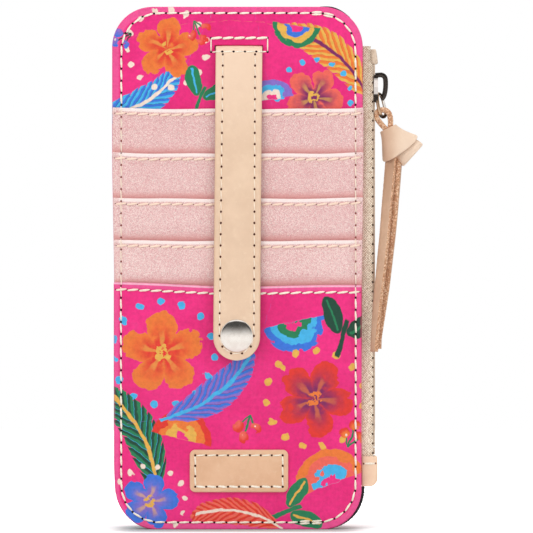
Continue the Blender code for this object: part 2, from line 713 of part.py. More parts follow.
def make_snap(cap_finish, stud_finish):
    """Cap and socket on the strap, stud and post on the lower pocket."""
    stud_back, socket_back, strap_back = snap_depths()
    pocket_back = lower_front(0.0, SNAP_HEIGHT) - LOWER_THICKNESS
    stud_base = stud_back + STUD_BASE_THICKNESS
    head = stud_base + STUD_HEAD_HEIGHT - CLEARANCE
    bore = RIVET_RADIUS + CLEARANCE
    bore_end = head - STUD_WALL
    lathe("snap_stud", [
        (0.0, head), (STUD_HEAD_RADIUS * 0.75, head), (STUD_HEAD_RADIUS, head - 0.0004),
        (STUD_HEAD_RADIUS - 0.0002, stud_base), (STUD_BASE_RADIUS, stud_base),
        (STUD_BASE_RADIUS, stud_back), (bore, stud_back), (bore, bore_end), (0.0, bore_end),
    ], 0.0, SNAP_HEIGHT, stud_finish)
    post_back = pocket_back - CLEARANCE - POST_THICKNESS
    lathe("snap_post", [
        (0.0, bore_end - CLEARANCE), (RIVET_RADIUS, bore_end - CLEARANCE),
        (RIVET_RADIUS, post_back + POST_THICKNESS), (POST_RADIUS, post_back + POST_THICKNESS),
        (POST_RADIUS, post_back), (0.0, post_back),
    ], 0.0, SNAP_HEIGHT, stud_finish, steps=20)
    socket_front = socket_back + SOCKET_THICKNESS
    eye = STUD_HEAD_RADIUS + CLEARANCE
    lathe("snap_socket", [
        (eye, socket_back), (eye, socket_front), (SOCKET_RADIUS, socket_front),
        (SOCKET_RADIUS, socket_front - 0.0004), (SOCKET_RADIUS - 0.0006, socket_back + 0.0001),
        (SOCKET_RADIUS - 0.0010, socket_back),
    ], 0.0, SNAP_HEIGHT, stud_finish)
    cap_back = strap_back + STRAP_THICKNESS + CLEARANCE
    rim = cap_back + CAP_RIM
    dome = [(0.0, rim + CAP_DOME)]
    dome += [(CAP_RADIUS * math.sin(math.radians(18.0 * step)),
              rim + CAP_DOME * math.cos(math.radians(18.0 * step))) for step in range(1, 6)]
    lathe("snap_cap", dome + [
        (CAP_RADIUS, cap_back), (RIVET_RADIUS, cap_back),
        (RIVET_RADIUS, socket_front + CLEARANCE / 6), (0.0, socket_front + CLEARANCE / 6),
    ], 0.0, SNAP_HEIGHT, cap_finish, steps=36)


# Zip


def bend_points(centre_x, centre_across, radius, side, steps=4):
    """A quarter turn from a face across the body to a face along it."""
    angles = [math.radians(90.0 * step / steps) for step in range(steps + 1)]
    return [(centre_x + radius * math.sin(angle), centre_across + side * radius * math.cos(angle))
            for angle in angles]


def make_zip_tapes(finish):
    """Two tapes, each sewn flat inside a panel and turned round the pocket's side to the teeth."""
    bottom = TAB_BOTTOM + TAPE_TUCK
    inner_face = TAPE_FACE_X - TAPE_THICKNESS
    for name, side in (("front_zip_tape", -1.0), ("back_zip_tape", 1.0)):
        seam_face = side * (CAVITY_DEPTH / 2 + TAPE_THICKNESS)
        fold_face = side * CAVITY_DEPTH / 2
        edge = side * (CHAIN_HALF + CLEARANCE)
        bend_x, bend_across = TAPE_FACE_X - TAPE_BEND, seam_face - side * TAPE_BEND
        outer = bend_points(bend_x, bend_across, TAPE_BEND, side)
        inner = bend_points(bend_x, bend_across, TAPE_BEND - TAPE_THICKNESS, side)
        outline = [(TAPE_INNER_X, seam_face)] + outer + [(TAPE_FACE_X, edge), (inner_face, edge)]
        outline += list(reversed(inner)) + [(TAPE_INNER_X, fold_face)]
        extrude(name, outline, lambda x, across, z: (x, CHAIN_Y + across, z), bottom, TAPE_TOP, finish)


def make_zip_teeth(finish):
    """Two rows of moulded teeth on their cords, in mesh from the bottom stop to the slider."""
    first = BOTTOM_STOP_TOP + CLEARANCE
    last = TOP_STOP_BOTTOM - CLEARANCE
    mesh_end = SLIDER_TOP - POST_LENGTH - 2 * CLEARANCE
    head_half = TOOTH_PITCH / 2 - TOOTH_NECK / 2 - CLEARANCE
    neck_half = TOOTH_NECK / 2
    for name, side, shift in (("front_zip_teeth", -1.0, 0.0), ("back_zip_teeth", 1.0, TOOTH_PITCH / 2)):
        corners, faces = [], []
        centres = []
        centre = first + head_half + shift
        while centre + head_half < mesh_end:
            centres.append(centre)
            centre += TOOTH_PITCH
        cord_back = side * CHAIN_HALF
        cord_face = side * (CHAIN_HALF - CORD_WIDTH)
        neck_end = cord_face - side * TOOTH_NECK_LENGTH
        head_end = neck_end - side * TOOTH_HEAD_LENGTH

        def pair(across, z):
            """The inner and outer corner of a point of the comb's outline."""
            corners.append((CHAIN_INNER_X, CHAIN_Y + across, z))
            corners.append((CHAIN_OUTER_X, CHAIN_Y + across, z))
            return len(corners) - 2

        def walls(places, closed):
            """Side faces along a run of pairs."""
            runs = list(zip(places, places[1:]))
            if closed:
                runs.append((places[-1], places[0]))
            for low, high in runs:
                faces.append((low, high, high + 1, low + 1))

        def caps(places):
            """Both flat faces of a region."""
            faces.append(tuple(places))
            faces.append(tuple(place + 1 for place in reversed(places)))

        back_run = [pair(cord_back, first)]
        face_run = [pair(cord_face, first)]
        edge_run = [face_run[0]]
        for centre in centres:
            low_back, high_back = pair(cord_back, centre - neck_half), pair(cord_back, centre + neck_half)
            low, high = pair(cord_face, centre - neck_half), pair(cord_face, centre + neck_half)
            neck_low, neck_high = pair(neck_end, centre - neck_half), pair(neck_end, centre + neck_half)
            wide_low, wide_high = pair(neck_end, centre - head_half), pair(neck_end, centre + head_half)
            tip_low, tip_high = pair(head_end, centre - neck_half), pair(head_end, centre + neck_half)
            caps([back_run[-1], low_back, low, face_run[-1]])
            caps([low_back, high_back, high, low])
            caps([low, high, neck_high, neck_low])
            caps([neck_low, neck_high, wide_high, tip_high, tip_low, wide_low])
            back_run += [low_back, high_back]
            face_run += [low, high]
            edge_run += [low, neck_low, wide_low, tip_low, tip_high, wide_high, neck_high, high]
        back_run.append(pair(cord_back, last))
        face_run.append(pair(cord_face, last))
        edge_run.append(face_run[-1])
        caps([back_run[-2], back_run[-1], face_run[-1], face_run[-2]])
        walls(back_run + list(reversed(edge_run)), closed=True)
        solid(name, corners, faces, finish)


def make_zip_stops(finish):
    """The block above the chain and the one below it."""
    low_x = CHAIN_INNER_X + STOP_OFFSET
    high_x = low_x + STOP_REACH
    top = [(low_x, -CHAIN_HALF), (high_x, -CHAIN_HALF), (high_x, CHAIN_HALF), (low_x, CHAIN_HALF)]
    extrude("zip_top_stop", top, lambda x, across, z: (x, CHAIN_Y + across, z),
            TOP_STOP_BOTTOM, TOP_STOP_BOTTOM + STOP_HEIGHT, finish)
    bottom = [(CHAIN_INNER_X, -CHAIN_HALF), (CHAIN_OUTER_X, -CHAIN_HALF),
              (CHAIN_OUTER_X, CHAIN_HALF), (CHAIN_INNER_X, CHAIN_HALF)]
    extrude("zip_bottom_stop", bottom, lambda x, across, z: (x, CHAIN_Y + across, z),
            BOTTOM_STOP_BOTTOM, BOTTOM_STOP_TOP, finish)


def make_zip_end_tab(finish):
    """A leather tab folded round the lower end of the zip, with a rounded lower corner."""
    low_x = HALF_WIDTH + CLEARANCE
    inner_x = TAPE_FACE_X + CLEARANCE
    outer_x = inner_x + TAB_THICKNESS
    front = FRONT_FACE
    front_inner = front + PANEL_THICKNESS
    back = BACK_FACE
    back_inner = BACK_FACE - PANEL_THICKNESS
    heights = [TAB_BOTTOM + TAB_CORNER * (1.0 - math.cos(math.radians(18.0 * step))) for step in range(6)]
    rings = []
    for z in heights + [TAB_TOP]:
        drop = TAB_CORNER - min(z - TAB_BOTTOM, TAB_CORNER)
        pull = TAB_CORNER - math.sqrt(TAB_CORNER ** 2 - drop ** 2)
        outer = outer_x - pull
        inner = min(inner_x, outer - TAB_THICKNESS)
        bend = outer - TAB_BEND
        ring = [(low_x, front)] + bend_points(bend, front + TAB_BEND, TAB_BEND, -1.0)
        ring += list(reversed(bend_points(bend, back - TAB_BEND, TAB_BEND, 1.0)))
        ring += [(low_x, back), (low_x, back_inner), (inner, back_inner)]
        ring += [(inner, front_inner), (low_x, front_inner)]
        rings.append([(x, y, z) for x, y in ring])
    loft("zip_end_tab", rings, finish)


def channel(name, face_x, bed_x, lip_x, rows, finish):
    """One plate of the slider with its two side flanges. Rows are (z, half width, flange width)."""
    rings = []
    for z, half, flange in rows:
        outline = [(face_x, -half), (face_x, half), (lip_x, half), (lip_x, half - flange),
                   (bed_x, half - flange), (bed_x, -half + flange), (lip_x, -half + flange), (lip_x, -half)]
        rings.append([(x, CHAIN_Y + across, z) for x, across in outline])
    return loft(name, rings, finish)


def make_slider(finish):
    """Two flanged plates joined at the top by the post that parts the teeth, and the bridge."""
    bed = CHAIN_HALF + CLEARANCE
    outer_bed_x = CHAIN_OUTER_X + CLEARANCE
    inner_bed_x = CHAIN_INNER_X - CLEARANCE
    outer_rows = [(SLIDER_BOTTOM, bed + FLANGE_WIDTH - CLEARANCE, FLANGE_WIDTH - CLEARANCE)]
    for share, flare in ((0.10, 0.0), (0.55, 0.1), (0.80, 1.0), (0.93, 0.9), (1.0, 0.2)):
        half = bed + FLANGE_WIDTH + WING_FLARE * flare
        outer_rows.append((SLIDER_BOTTOM + SLIDER_LENGTH * share, half, FLANGE_WIDTH))
    inner_rows = [(SLIDER_BOTTOM + SLIDER_LENGTH * share, bed + INNER_FLANGE_WIDTH, INNER_FLANGE_WIDTH)
                  for share in (0.02, 0.97)]
    body = channel("slider_body", WING_FACE_X, outer_bed_x, TAPE_FACE_X + CLEARANCE, outer_rows, finish)
    inner_lip = TAPE_FACE_X - TAPE_THICKNESS - CLEARANCE
    inner_face_x = inner_bed_x - WING_THICKNESS
    inner = channel("slider_inner_plate", inner_face_x, inner_bed_x, inner_lip, inner_rows, finish)
    post_low = SLIDER_TOP - POST_LENGTH
    post_high = SLIDER_TOP - 2 * CLEARANCE
    point = [(-POST_HALF_WIDTH * 0.5, post_low), (POST_HALF_WIDTH * 0.5, post_low),
             (POST_HALF_WIDTH, post_low + POST_LENGTH * 0.3), (POST_HALF_WIDTH, post_high),
             (-POST_HALF_WIDTH, post_high), (-POST_HALF_WIDTH, post_low + POST_LENGTH * 0.3)]
    sink = WING_THICKNESS / 2
    post = extrude("slider_post", point, lambda across, z, x: (x, CHAIN_Y + across, z),
                   inner_bed_x - sink, outer_bed_x + sink, finish)
    fuse(body, inner)
    fuse(body, post)
    make_bridge(finish)


def make_bridge(finish):
    """The bridge over the slider's outer plate, thick over the top and slim at its lower foot."""
    foot = WING_FACE_X + CLEARANCE
    spine = foot + BRIDGE_HEIGHT + BRIDGE_THICKNESS / 2 - CLEARANCE
    slim = BRIDGE_FOOT_THICKNESS / BRIDGE_THICKNESS
    top, bottom = SLIDER_TOP, SLIDER_BOTTOM
    stations = [(foot, top - 0.0003, 1.0), (foot + 0.0009, top - 0.0002, 1.0),
                (foot + 0.0016, top + 0.0001, 1.0), (spine - 0.0005, top - 0.0003, 1.0),
                (spine, top - 0.0014, 1.0), (spine, bottom + 0.0049, 1.0),
                (spine - 0.00035, bottom + 0.0031, 0.95), (spine - 0.00105, bottom + 0.0018, 0.8),
                (foot + 0.0008, bottom + 0.0011, slim), (foot, bottom + 0.0010, slim)]
    half, width = BRIDGE_THICKNESS / 2, BRIDGE_WIDTH / 2
    edge = BRIDGE_THICKNESS * 0.22
    section = [(-half, -width + edge), (-half + edge, -width), (half - edge, -width), (half, -width + edge),
               (half, width - edge), (half - edge, width), (-half + edge, width), (-half, width - edge)]
    route = [Vector((x, CHAIN_Y, z)) for x, z, scale in stations]
    scales = [scale for x, z, scale in stations]
    sweep("slider_bridge", route, section, Vector((0.0, 1.0, 0.0)), finish, scales=scales, rounded=True)


# Pull


def make_link(finish):
    """A closed ring of wire in the bridge, tilted a little outwards."""
    down = Vector((math.sin(LINK_TILT), 0.0, -math.cos(LINK_TILT)))
    along = Vector((0.0, 1.0, 0.0))
    start = Vector((PIVOT_X, CHAIN_Y, PIVOT_Z))
    outline = rounded_outline(-LINK_HALF_WIDTH, LINK_HALF_WIDTH, 0.0, LINK_LENGTH, LINK_CORNER, steps=4)
    path = [start + along * u + down * v for u, v in outline]
    section = [(LINK_WIRE * math.cos(math.tau * step / 8), LINK_WIRE * math.sin(math.tau * step / 8))
               for step in range(8)]
    sweep("pull_link", path, section, along.cross(down), finish, closed=True, rounded=True)


def link_end():
    """The middle of the link's lower bar."""
    out, down = LINK_LENGTH * math.sin(LINK_TILT), LINK_LENGTH * math.cos(LINK_TILT)
    return Vector((PIVOT_X + out, CHAIN_Y, PIVOT_Z - down))


def oval(centre, across, half_across, half_deep, steps=20):
    """A ring of points about a centre, in the plane of a direction and Y."""
    points = []
    for step in range(steps):
        angle = math.tau * step / steps
        points.append(centre + across * (half_across * math.cos(angle))
                      + Vector((0.0, half_deep * math.sin(angle), 0.0)))
    return points


def make_loop(finish):
    """The lace's loop round the link's lower bar."""
    bar = link_end()
    bend = LOOP_BEND
    top = [bar + Vector((bend * math.cos(math.radians(angle)), 0.0, bend * math.sin(math.radians(angle))))
           for angle in range(180, -1, -30)]
    left_share, right_share, foot_share = LOOP_SIDE_SHARES
    left_drop, right_drop, foot_drop = LOOP_SIDE_DROPS
    left_foot = bar + Vector((LOOP_FOOT[0], 0.0, LOOP_FOOT[1]))
    left_side = bar + Vector((-bend * left_share, 0.0, -left_drop))
    right_side = bar + Vector((bend * right_share, 0.0, -right_drop))
    right_foot = bar + Vector((bend * foot_share, 0.0, -foot_drop))
    half, width = LACE_THICKNESS / 2, LACE_WIDTH / 2
    section = [(-half, -width), (half, -width), (half, width), (-half, width)]
    sweep("pull_loop", [left_foot, left_side] + top + [right_side, right_foot], section,
          Vector((0.0, 1.0, 0.0)), finish)


def make_knot(finish):
    """The flared wrap of the knot and the second turn of leather that shows below it."""
    bar = link_end()
    narrow = bar + Vector((KNOT_NARROW[0], 0.0, KNOT_NARROW[1]))
    wide = bar + Vector((KNOT_WIDE[0], 0.0, KNOT_WIDE[1]))
    rings = []
    for share, half_across, half_deep in KNOT_RINGS:
        tilt = KNOT_TILTS[0] + (KNOT_TILTS[1] - KNOT_TILTS[0]) * min(share, 1.0)
        across = Vector((math.cos(tilt), 0.0, math.sin(tilt)))
        rings.append(oval(narrow.lerp(wide, share), across, half_across, half_deep))
    loft("pull_knot", rings, finish, rounded=True)
    across = Vector((math.cos(KNOT_TILTS[1]), 0.0, math.sin(KNOT_TILTS[1])))
    along = (wide - narrow).normalized()
    start = wide + across * WRAP_SHIFT
    rings = [oval(start + along * step, across, half_across, half_deep)
             for step, half_across, half_deep in WRAP_RINGS]
    loft("pull_wrap", rings, finish, rounded=True)


def strand(name, stations, finish):
    """A flat strip hanging through stations that are measured from the link's pivot."""
    pivot = Vector((PIVOT_X, CHAIN_Y, PIVOT_Z))
    rings = []
    for out, back, drop, width, thickness, twist in stations:
        across = Vector((math.cos(math.radians(twist)), math.sin(math.radians(twist)), 0.0))
        through = Vector((-across.y, across.x, 0.0))
        centre = pivot + Vector((out, back, -drop))
        corners = ((-width, -thickness), (width, -thickness), (width, thickness), (-width, thickness))
        rings.append([centre + across * (u / 2) + through * (v / 2) for u, v in corners])
    loft(name, list(reversed(rings)), finish)


def make_tails(finish):
    """Two ends of the lace hanging below the knot; the front one passes in front of the tape."""
    strand("pull_tail_front", FRONT_TAIL, finish)
    strand("pull_tail_back", BACK_TAIL, finish)


def build():
    """Makes the whole organizer."""
    for old in list(bpy.data.objects):
        bpy.data.objects.remove(old, do_unlink=True)
    print_canvas = material("printed_canvas", (0.85, 0.03, 0.22), 0.35)
    lining = material("lining_cloth", (0.03, 0.03, 0.035), 0.8)
    glitter = material("glitter_sheet", (0.85, 0.52, 0.54), 0.4)
    strap_leather = material("strap_leather", (0.87, 0.68, 0.46), 0.5)
    split_leather = material("split_leather", (0.78, 0.58, 0.40), 0.8)
    label_leather = material("label_leather", (0.80, 0.50, 0.29), 0.5)
    lace_leather = material("lace_leather", (0.80, 0.56, 0.37), 0.6)
    tape = material("zip_tape", (0.60, 0.48, 0.36), 0.8)
    teeth = material("zip_resin", (0.66, 0.52, 0.38), 0.4)
    gunmetal = material("gunmetal", (0.06, 0.055, 0.05), 0.3, 1.0)
    nickel = material("nickel", (0.70, 0.68, 0.66), 0.2, 1.0)
    make_front_panel(print_canvas)
    make_front_lining(lining)
    make_back(print_canvas, lining)
    make_card_pockets(glitter)
    make_lower_pocket(print_canvas)
    make_label(label_leather)
    make_strap(strap_leather, split_leather)
    make_strap_anchor(strap_leather)
    make_snap(nickel, nickel)
    make_zip_tapes(tape)
    make_zip_teeth(teeth)
    make_zip_stops(teeth)
    make_zip_end_tab(label_leather)
    make_slider(gunmetal)
    make_link(nickel)
    make_loop(lace_leather)
    make_knot(lace_leather)
    make_tails(lace_leather)


build()
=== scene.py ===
import json
import math

import bmesh
import bpy
import numpy as np
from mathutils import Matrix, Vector, noise
from mathutils.bvhtree import BVHTree
from mathutils.kdtree import KDTree


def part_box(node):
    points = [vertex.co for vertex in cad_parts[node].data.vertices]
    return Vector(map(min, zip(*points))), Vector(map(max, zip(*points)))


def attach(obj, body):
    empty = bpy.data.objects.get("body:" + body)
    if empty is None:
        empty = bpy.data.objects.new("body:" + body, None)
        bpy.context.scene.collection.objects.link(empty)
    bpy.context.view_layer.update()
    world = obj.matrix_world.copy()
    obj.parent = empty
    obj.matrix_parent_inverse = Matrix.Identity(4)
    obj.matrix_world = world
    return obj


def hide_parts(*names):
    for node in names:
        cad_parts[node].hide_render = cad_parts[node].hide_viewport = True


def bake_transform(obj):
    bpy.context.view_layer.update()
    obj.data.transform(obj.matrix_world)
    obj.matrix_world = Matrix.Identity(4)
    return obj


# Metres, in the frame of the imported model: +Z up, front towards -Y, zip on the +X side.
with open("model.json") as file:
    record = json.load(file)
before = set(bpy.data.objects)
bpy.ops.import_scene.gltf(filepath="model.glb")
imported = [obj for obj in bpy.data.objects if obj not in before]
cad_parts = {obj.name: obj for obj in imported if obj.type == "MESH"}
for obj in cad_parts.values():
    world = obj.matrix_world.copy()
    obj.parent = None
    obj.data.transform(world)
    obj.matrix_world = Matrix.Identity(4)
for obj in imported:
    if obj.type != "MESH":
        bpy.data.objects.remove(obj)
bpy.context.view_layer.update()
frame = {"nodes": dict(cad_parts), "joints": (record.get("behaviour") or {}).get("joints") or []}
NODES = frame["nodes"]

# Sizes read from the frame
PANEL_LOW, PANEL_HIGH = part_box("front_panel")
HALF_WIDTH = PANEL_HIGH.x
BODY_HEIGHT = PANEL_HIGH.z
FRONT_FACE = PANEL_LOW.y
STRAP_LOW, STRAP_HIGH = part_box("strap_outer")
STRAP_HALF = STRAP_HIGH.x
STRAP_TIP = STRAP_LOW.z
STRAP_FOLD = STRAP_HIGH.z
TAPE_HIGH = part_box("front_zip_tape")[1]
TAB_LOW, TAB_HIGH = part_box("zip_end_tab")
LABEL_LOW, LABEL_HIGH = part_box("label_patch")
CAP_LOW, CAP_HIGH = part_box("snap_cap")
CHAIN_Y = (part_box("front_zip_teeth")[0].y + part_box("back_zip_teeth")[1].y) / 2
BOTTOMS, MOUTHS = zip(*[(low.z, high.z) for low, high in
                        (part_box("card_pocket_%d" % number) for number in (1, 2, 3, 4))])
LOWER_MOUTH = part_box("lower_pocket")[1].z
PIVOTS = {joint["name"]: Vector(joint["pos_m"]) for joint in frame["joints"] if "pos_m" in joint}
FOLD_PIVOT, LINK_PIVOT, LINK_END = PIVOTS["strap_lift"], PIVOTS["link_swing"], PIVOTS["pull_swing"]

# Sizes of the looks
MM = 0.001
CORNER_RADIUS = 0.0155
PANEL_THICKNESS = 0.0012
LOWER_THICKNESS = 0.0009
SHEET_THICKNESS = 0.0005
ROW_STEP = 0.0012
CANVAS_EDGE = 0.00030
SHEET_EDGE = 0.00022
SHEET_ROLL = 0.00034
SHEET_SHORT = (0.0005, 0.0001)
LINING_INSET = 0.0005
DRAWN_IN = (0.00085, 0.00060)
DRAWN_IN_FADES = (0.085, 0.150)
CORNER_DRAWN_IN = 0.0011
CORNER_DRAWN_IN_TOP = 0.026
SEAM_BOX = (-0.04445, 0.04520, 0.00270, 0.19755)
SEAM_RIGHT = SEAM_BOX[1]
SEAM_CORNER = 0.0142
SEAM_PITCH = 0.00462
HEM_DROP = 0.00215
HEM_PITCH = 0.00420
HEM_MARGIN = 0.0006
HEM_STEP = 0.0015
HEM_SAG, HEM_RISE, HEM_RIPPLE = 0.00060, 0.00085, 0.00012
LOWER_HEM_DROP = 0.00270
LOWER_HEM_PITCH = 0.00445
LOWER_SAG, LOWER_RISE, LOWER_SLOPE = 0.0012, 0.0009, 0.0006
STRAP_DRIFT_AT_FOLD, STRAP_DRIFT_BY_TIP = 0.00062, 0.00092
STRAP_SEAM_INSET = 0.00265
STRAP_PITCH = 0.00431
SLOT_HEIGHTS = (0.1830, 0.1854)
SLOT_SHIFT = (0.00035, 0.00065)
SLOT_SEAM = (-0.01010, 0.01155, 0.18270, 0.18800)
LABEL_CORNER = 0.0021
LABEL_SEAM_INSET = 0.00210
LABEL_PITCH = 0.00430
DENT_DEPTH = 0.00028
DENT_WIDTH = 0.00095
HOLE = (0.00096, 0.00084)

RAY_START = 0.2
AMBIENT = 0.69
Y_WAY = Vector((0.0, 1.0, 0.0))


def srgb(red, green, blue):
    """A linear colour from 8-bit values as seen on a screen."""
    channels = []
    for value in (red, green, blue):
        share = value / 255.0
        channels.append(share / 12.92 if share <= 0.04045 else ((share + 0.055) / 1.055) ** 2.4)
    return (*channels, 1.0)


def smooth_step(value, low, high):
    """0 below low, 1 above high, and an even S-curve between them."""
    share = min(max((value - low) / (high - low), 0.0), 1.0)
    return share * share * (3.0 - 2.0 * share)


def drawn_in(x, z):
    """How far the soft body's outline is drawn in at a place, on its left and right side."""
    full = 1.0 - smooth_step(z, *DRAWN_IN_FADES)
    share = x / HALF_WIDTH
    left = DRAWN_IN[0] * full + CORNER_DRAWN_IN * (1.0 - smooth_step(z, 0.0, CORNER_DRAWN_IN_TOP))
    return (left * (1.0 - share) - DRAWN_IN[1] * full * (1.0 + share)) / 2


# Surfaces of the frame and of finished pieces


def tree_of(*objects):
    """A search tree over the faces of several objects that sit at the origin."""
    corners, faces = [], []
    for obj in objects:
        start = len(corners)
        corners += [vertex.co.copy() for vertex in obj.data.vertices]
        faces += [[start + index for index in face.vertices] for face in obj.data.polygons]
    return BVHTree.FromPolygons(corners, faces)


def seen_y(tree, x, z, side=-1.0):
    """The y of the surface that is met first from the front (side -1) or from behind (side 1)."""
    hit = tree.ray_cast(Vector((x, side * RAY_START, z)), Vector((0.0, -side, 0.0)))[0]
    if hit is None:
        hit = tree.find_nearest(Vector((x * 0.995, side * RAY_START / 10, z)))[0]
    return hit.y


def mapped(places, value_at):
    """A grid with a number for each (x, z) of a grid of places."""
    return np.array([[value_at(x, z) for x, z in line] for line in places])


def depth_grid(node, places, side=-1.0, passes=(2, 1), margin=0.0001):
    """The y of a node's surface at each (x, z) of a grid, eased along its rows and columns."""
    tree = tree_of(NODES[node])
    low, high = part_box(node)
    grid = mapped(places, lambda x, z: seen_y(tree, min(max(x, low.x + margin), high.x - margin),
                                              min(max(z, low.z + margin), high.z - margin), side))
    for axis, count in enumerate(passes):
        for _ in range(count):
            padded = np.concatenate([grid.take([0], axis), grid, grid.take([-1], axis)], axis)
            length = grid.shape[axis]
            before = padded.take(range(0, length), axis)
            after = padded.take(range(2, length + 2), axis)
            grid = (before + 2.0 * grid + after) / 4.0
    return grid


# Routes, in x and z


def arc(centre_x, centre_z, radius, start, turn, steps):
    """Points round a centre, from an angle in degrees through a turn."""
    angles = [math.radians(start + turn * step / steps) for step in range(steps + 1)]
    return [(centre_x + radius * math.cos(angle), centre_z + radius * math.sin(angle)) for angle in angles]


def rounded_corners(low_x, high_x, low_z, high_z, radius, steps):
    """Points round a rounded rectangle's corners, anticlockwise from the right end of its lower side."""
    right, left, low, high = high_x - radius, low_x + radius, low_z + radius, high_z - radius
    points = []
    for x, z, start in ((right, low, -90.0), (right, high, 0.0), (left, high, 90.0), (left, low, 180.0)):
        points += arc(x, z, radius, start, 90.0, steps)
    return points


def spaced(route, pitch):
    """Points along a route, an even step near the pitch apart."""
    lengths = [0.0]
    for before, after in zip(route, route[1:]):
        lengths.append(lengths[-1] + math.dist(before, after))
    count = max(1, round(lengths[-1] / pitch))
    targets = np.linspace(0.0, lengths[-1], count + 1)
    columns = [np.interp(targets, lengths, column) for column in zip(*route)]
    return [tuple(float(value) for value in point) for point in zip(*columns)]


def headings(points):
    """The direction of a route at each of its points."""
    last = len(points) - 1
    return [(points[min(index + 1, last)] - points[max(index - 1, 0)]).normalized()
            for index in range(last + 1)]


def strap_drift(z):
    """The strap leans a little to the left on its way down."""
    return STRAP_DRIFT_AT_FOLD - STRAP_DRIFT_BY_TIP * (STRAP_FOLD - z) / (STRAP_FOLD - STRAP_TIP)


def hem_sag(index, x):
    """How far a card pocket's mouth lies below its level: it hangs a little between the side seams."""
    share = x / HALF_WIDTH
    return HEM_SAG * (1.0 - abs(share) ** 6) - HEM_RISE + HEM_RIPPLE * math.sin(9.0 * share + 1.7 * index)


def lower_sag(x):
    """How far the lower pocket's mouth lies below its level."""
    share = x / HALF_WIDTH
    return LOWER_SAG * math.exp(-((share + 0.05) / 0.55) ** 2) - LOWER_RISE + LOWER_SLOPE * share


def hem_route(level, height_at, margin=HEM_MARGIN):
    """A hem's route across the front, between the places where the outline is drawn in to."""
    low_x = -HALF_WIDTH + drawn_in(-HALF_WIDTH, level) + margin
    high_x = HALF_WIDTH + drawn_in(HALF_WIDTH, level) - HEM_MARGIN
    count = int((high_x - low_x) / HEM_STEP)
    places = [low_x + (high_x - low_x) * index / count for index in range(count + 1)]
    return [(x, height_at(x)) for x in places]


def strap_seam():
    """The strap's seam: down one side, round the tip and up the other."""
    radius = STRAP_HALF - STRAP_SEAM_INSET
    centre_z = STRAP_TIP + STRAP_HALF
    top = STRAP_FOLD - 0.0006
    closer = 0.0004
    down = [(-radius + closer * (1.0 - step / 30), top + (centre_z - top) * step / 30) for step in range(30)]
    route = down + arc(0.0, centre_z, radius, 180.0, 180.0, 24) + [(-x, z) for x, z in reversed(down)]
    return [(x + strap_drift(z), z) for x, z in route]


SEAM_FOOT = ((SEAM_BOX[0] + SEAM_BOX[1]) / 2, SEAM_BOX[2])
PERIMETER = [SEAM_FOOT, *rounded_corners(*SEAM_BOX, SEAM_CORNER, 10), SEAM_FOOT]
HEMS = [hem_route(mouth, lambda x, which=index, top=mouth: top - HEM_DROP - hem_sag(which, x),
                  SHEET_SHORT[0] + HEM_MARGIN) for index, mouth in enumerate(MOUTHS)]
LOWER_HEM = hem_route(LOWER_MOUTH, lambda x: LOWER_MOUTH - LOWER_HEM_DROP - lower_sag(x))


def dent_field(routes):
    """How far a surface is drawn in by its seams at a place. Routes are (points, pitch)."""
    samples = []
    for route, pitch in routes:
        holes = spaced(route, pitch)
        for before, after in zip(holes, holes[1:]):
            for step in range(12):
                share = step / 12
                x, z = (start + (end - start) * share for start, end in zip(before, after))
                samples.append((x, z, 0.65 + 0.35 * math.cos(math.tau * share)))
    tree = KDTree(len(samples))
    for index, (x, z, _) in enumerate(samples):
        tree.insert((x, 0.0, z), index)
    tree.balance()

    def dent_at(x, z):
        _, index, distance = tree.find((x, 0.0, z))
        return DENT_DEPTH * samples[index][2] * math.exp(-(distance / DENT_WIDTH) ** 2)

    return dent_at


# Making pieces


def piece(name, corners, faces, finish, body, replaces=(), slot=None, edges=None, marks=None, extra=None,
          bend=None):
    """A smooth-shaded mesh that rides on a body, or, where a bend is given, stays unparented with its
    transform baked in.
    """
    mesh = bpy.data.meshes.new(name)
    mesh.from_pydata([tuple(corner) for corner in corners], [], faces)
    mesh.validate()
    work = bmesh.new()
    work.from_mesh(mesh)
    bmesh.ops.recalc_face_normals(work, faces=work.faces[:])
    work.to_mesh(mesh)
    work.free()
    for material in filter(None, (finish, extra)):
        mesh.materials.append(material)
    mesh.shade_smooth()
    for kind, values in (("edge", edges), ("tone", marks)):
        if values is not None:
            mesh.attributes.new(kind, "FLOAT", "POINT").data.foreach_set("value", values)
    obj = bpy.data.objects.new(name, mesh)
    bpy.context.scene.collection.objects.link(obj)
    if bend:
        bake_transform(obj)
    else:
        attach(obj, body)
    if replaces:
        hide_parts(*replaces)
    return obj


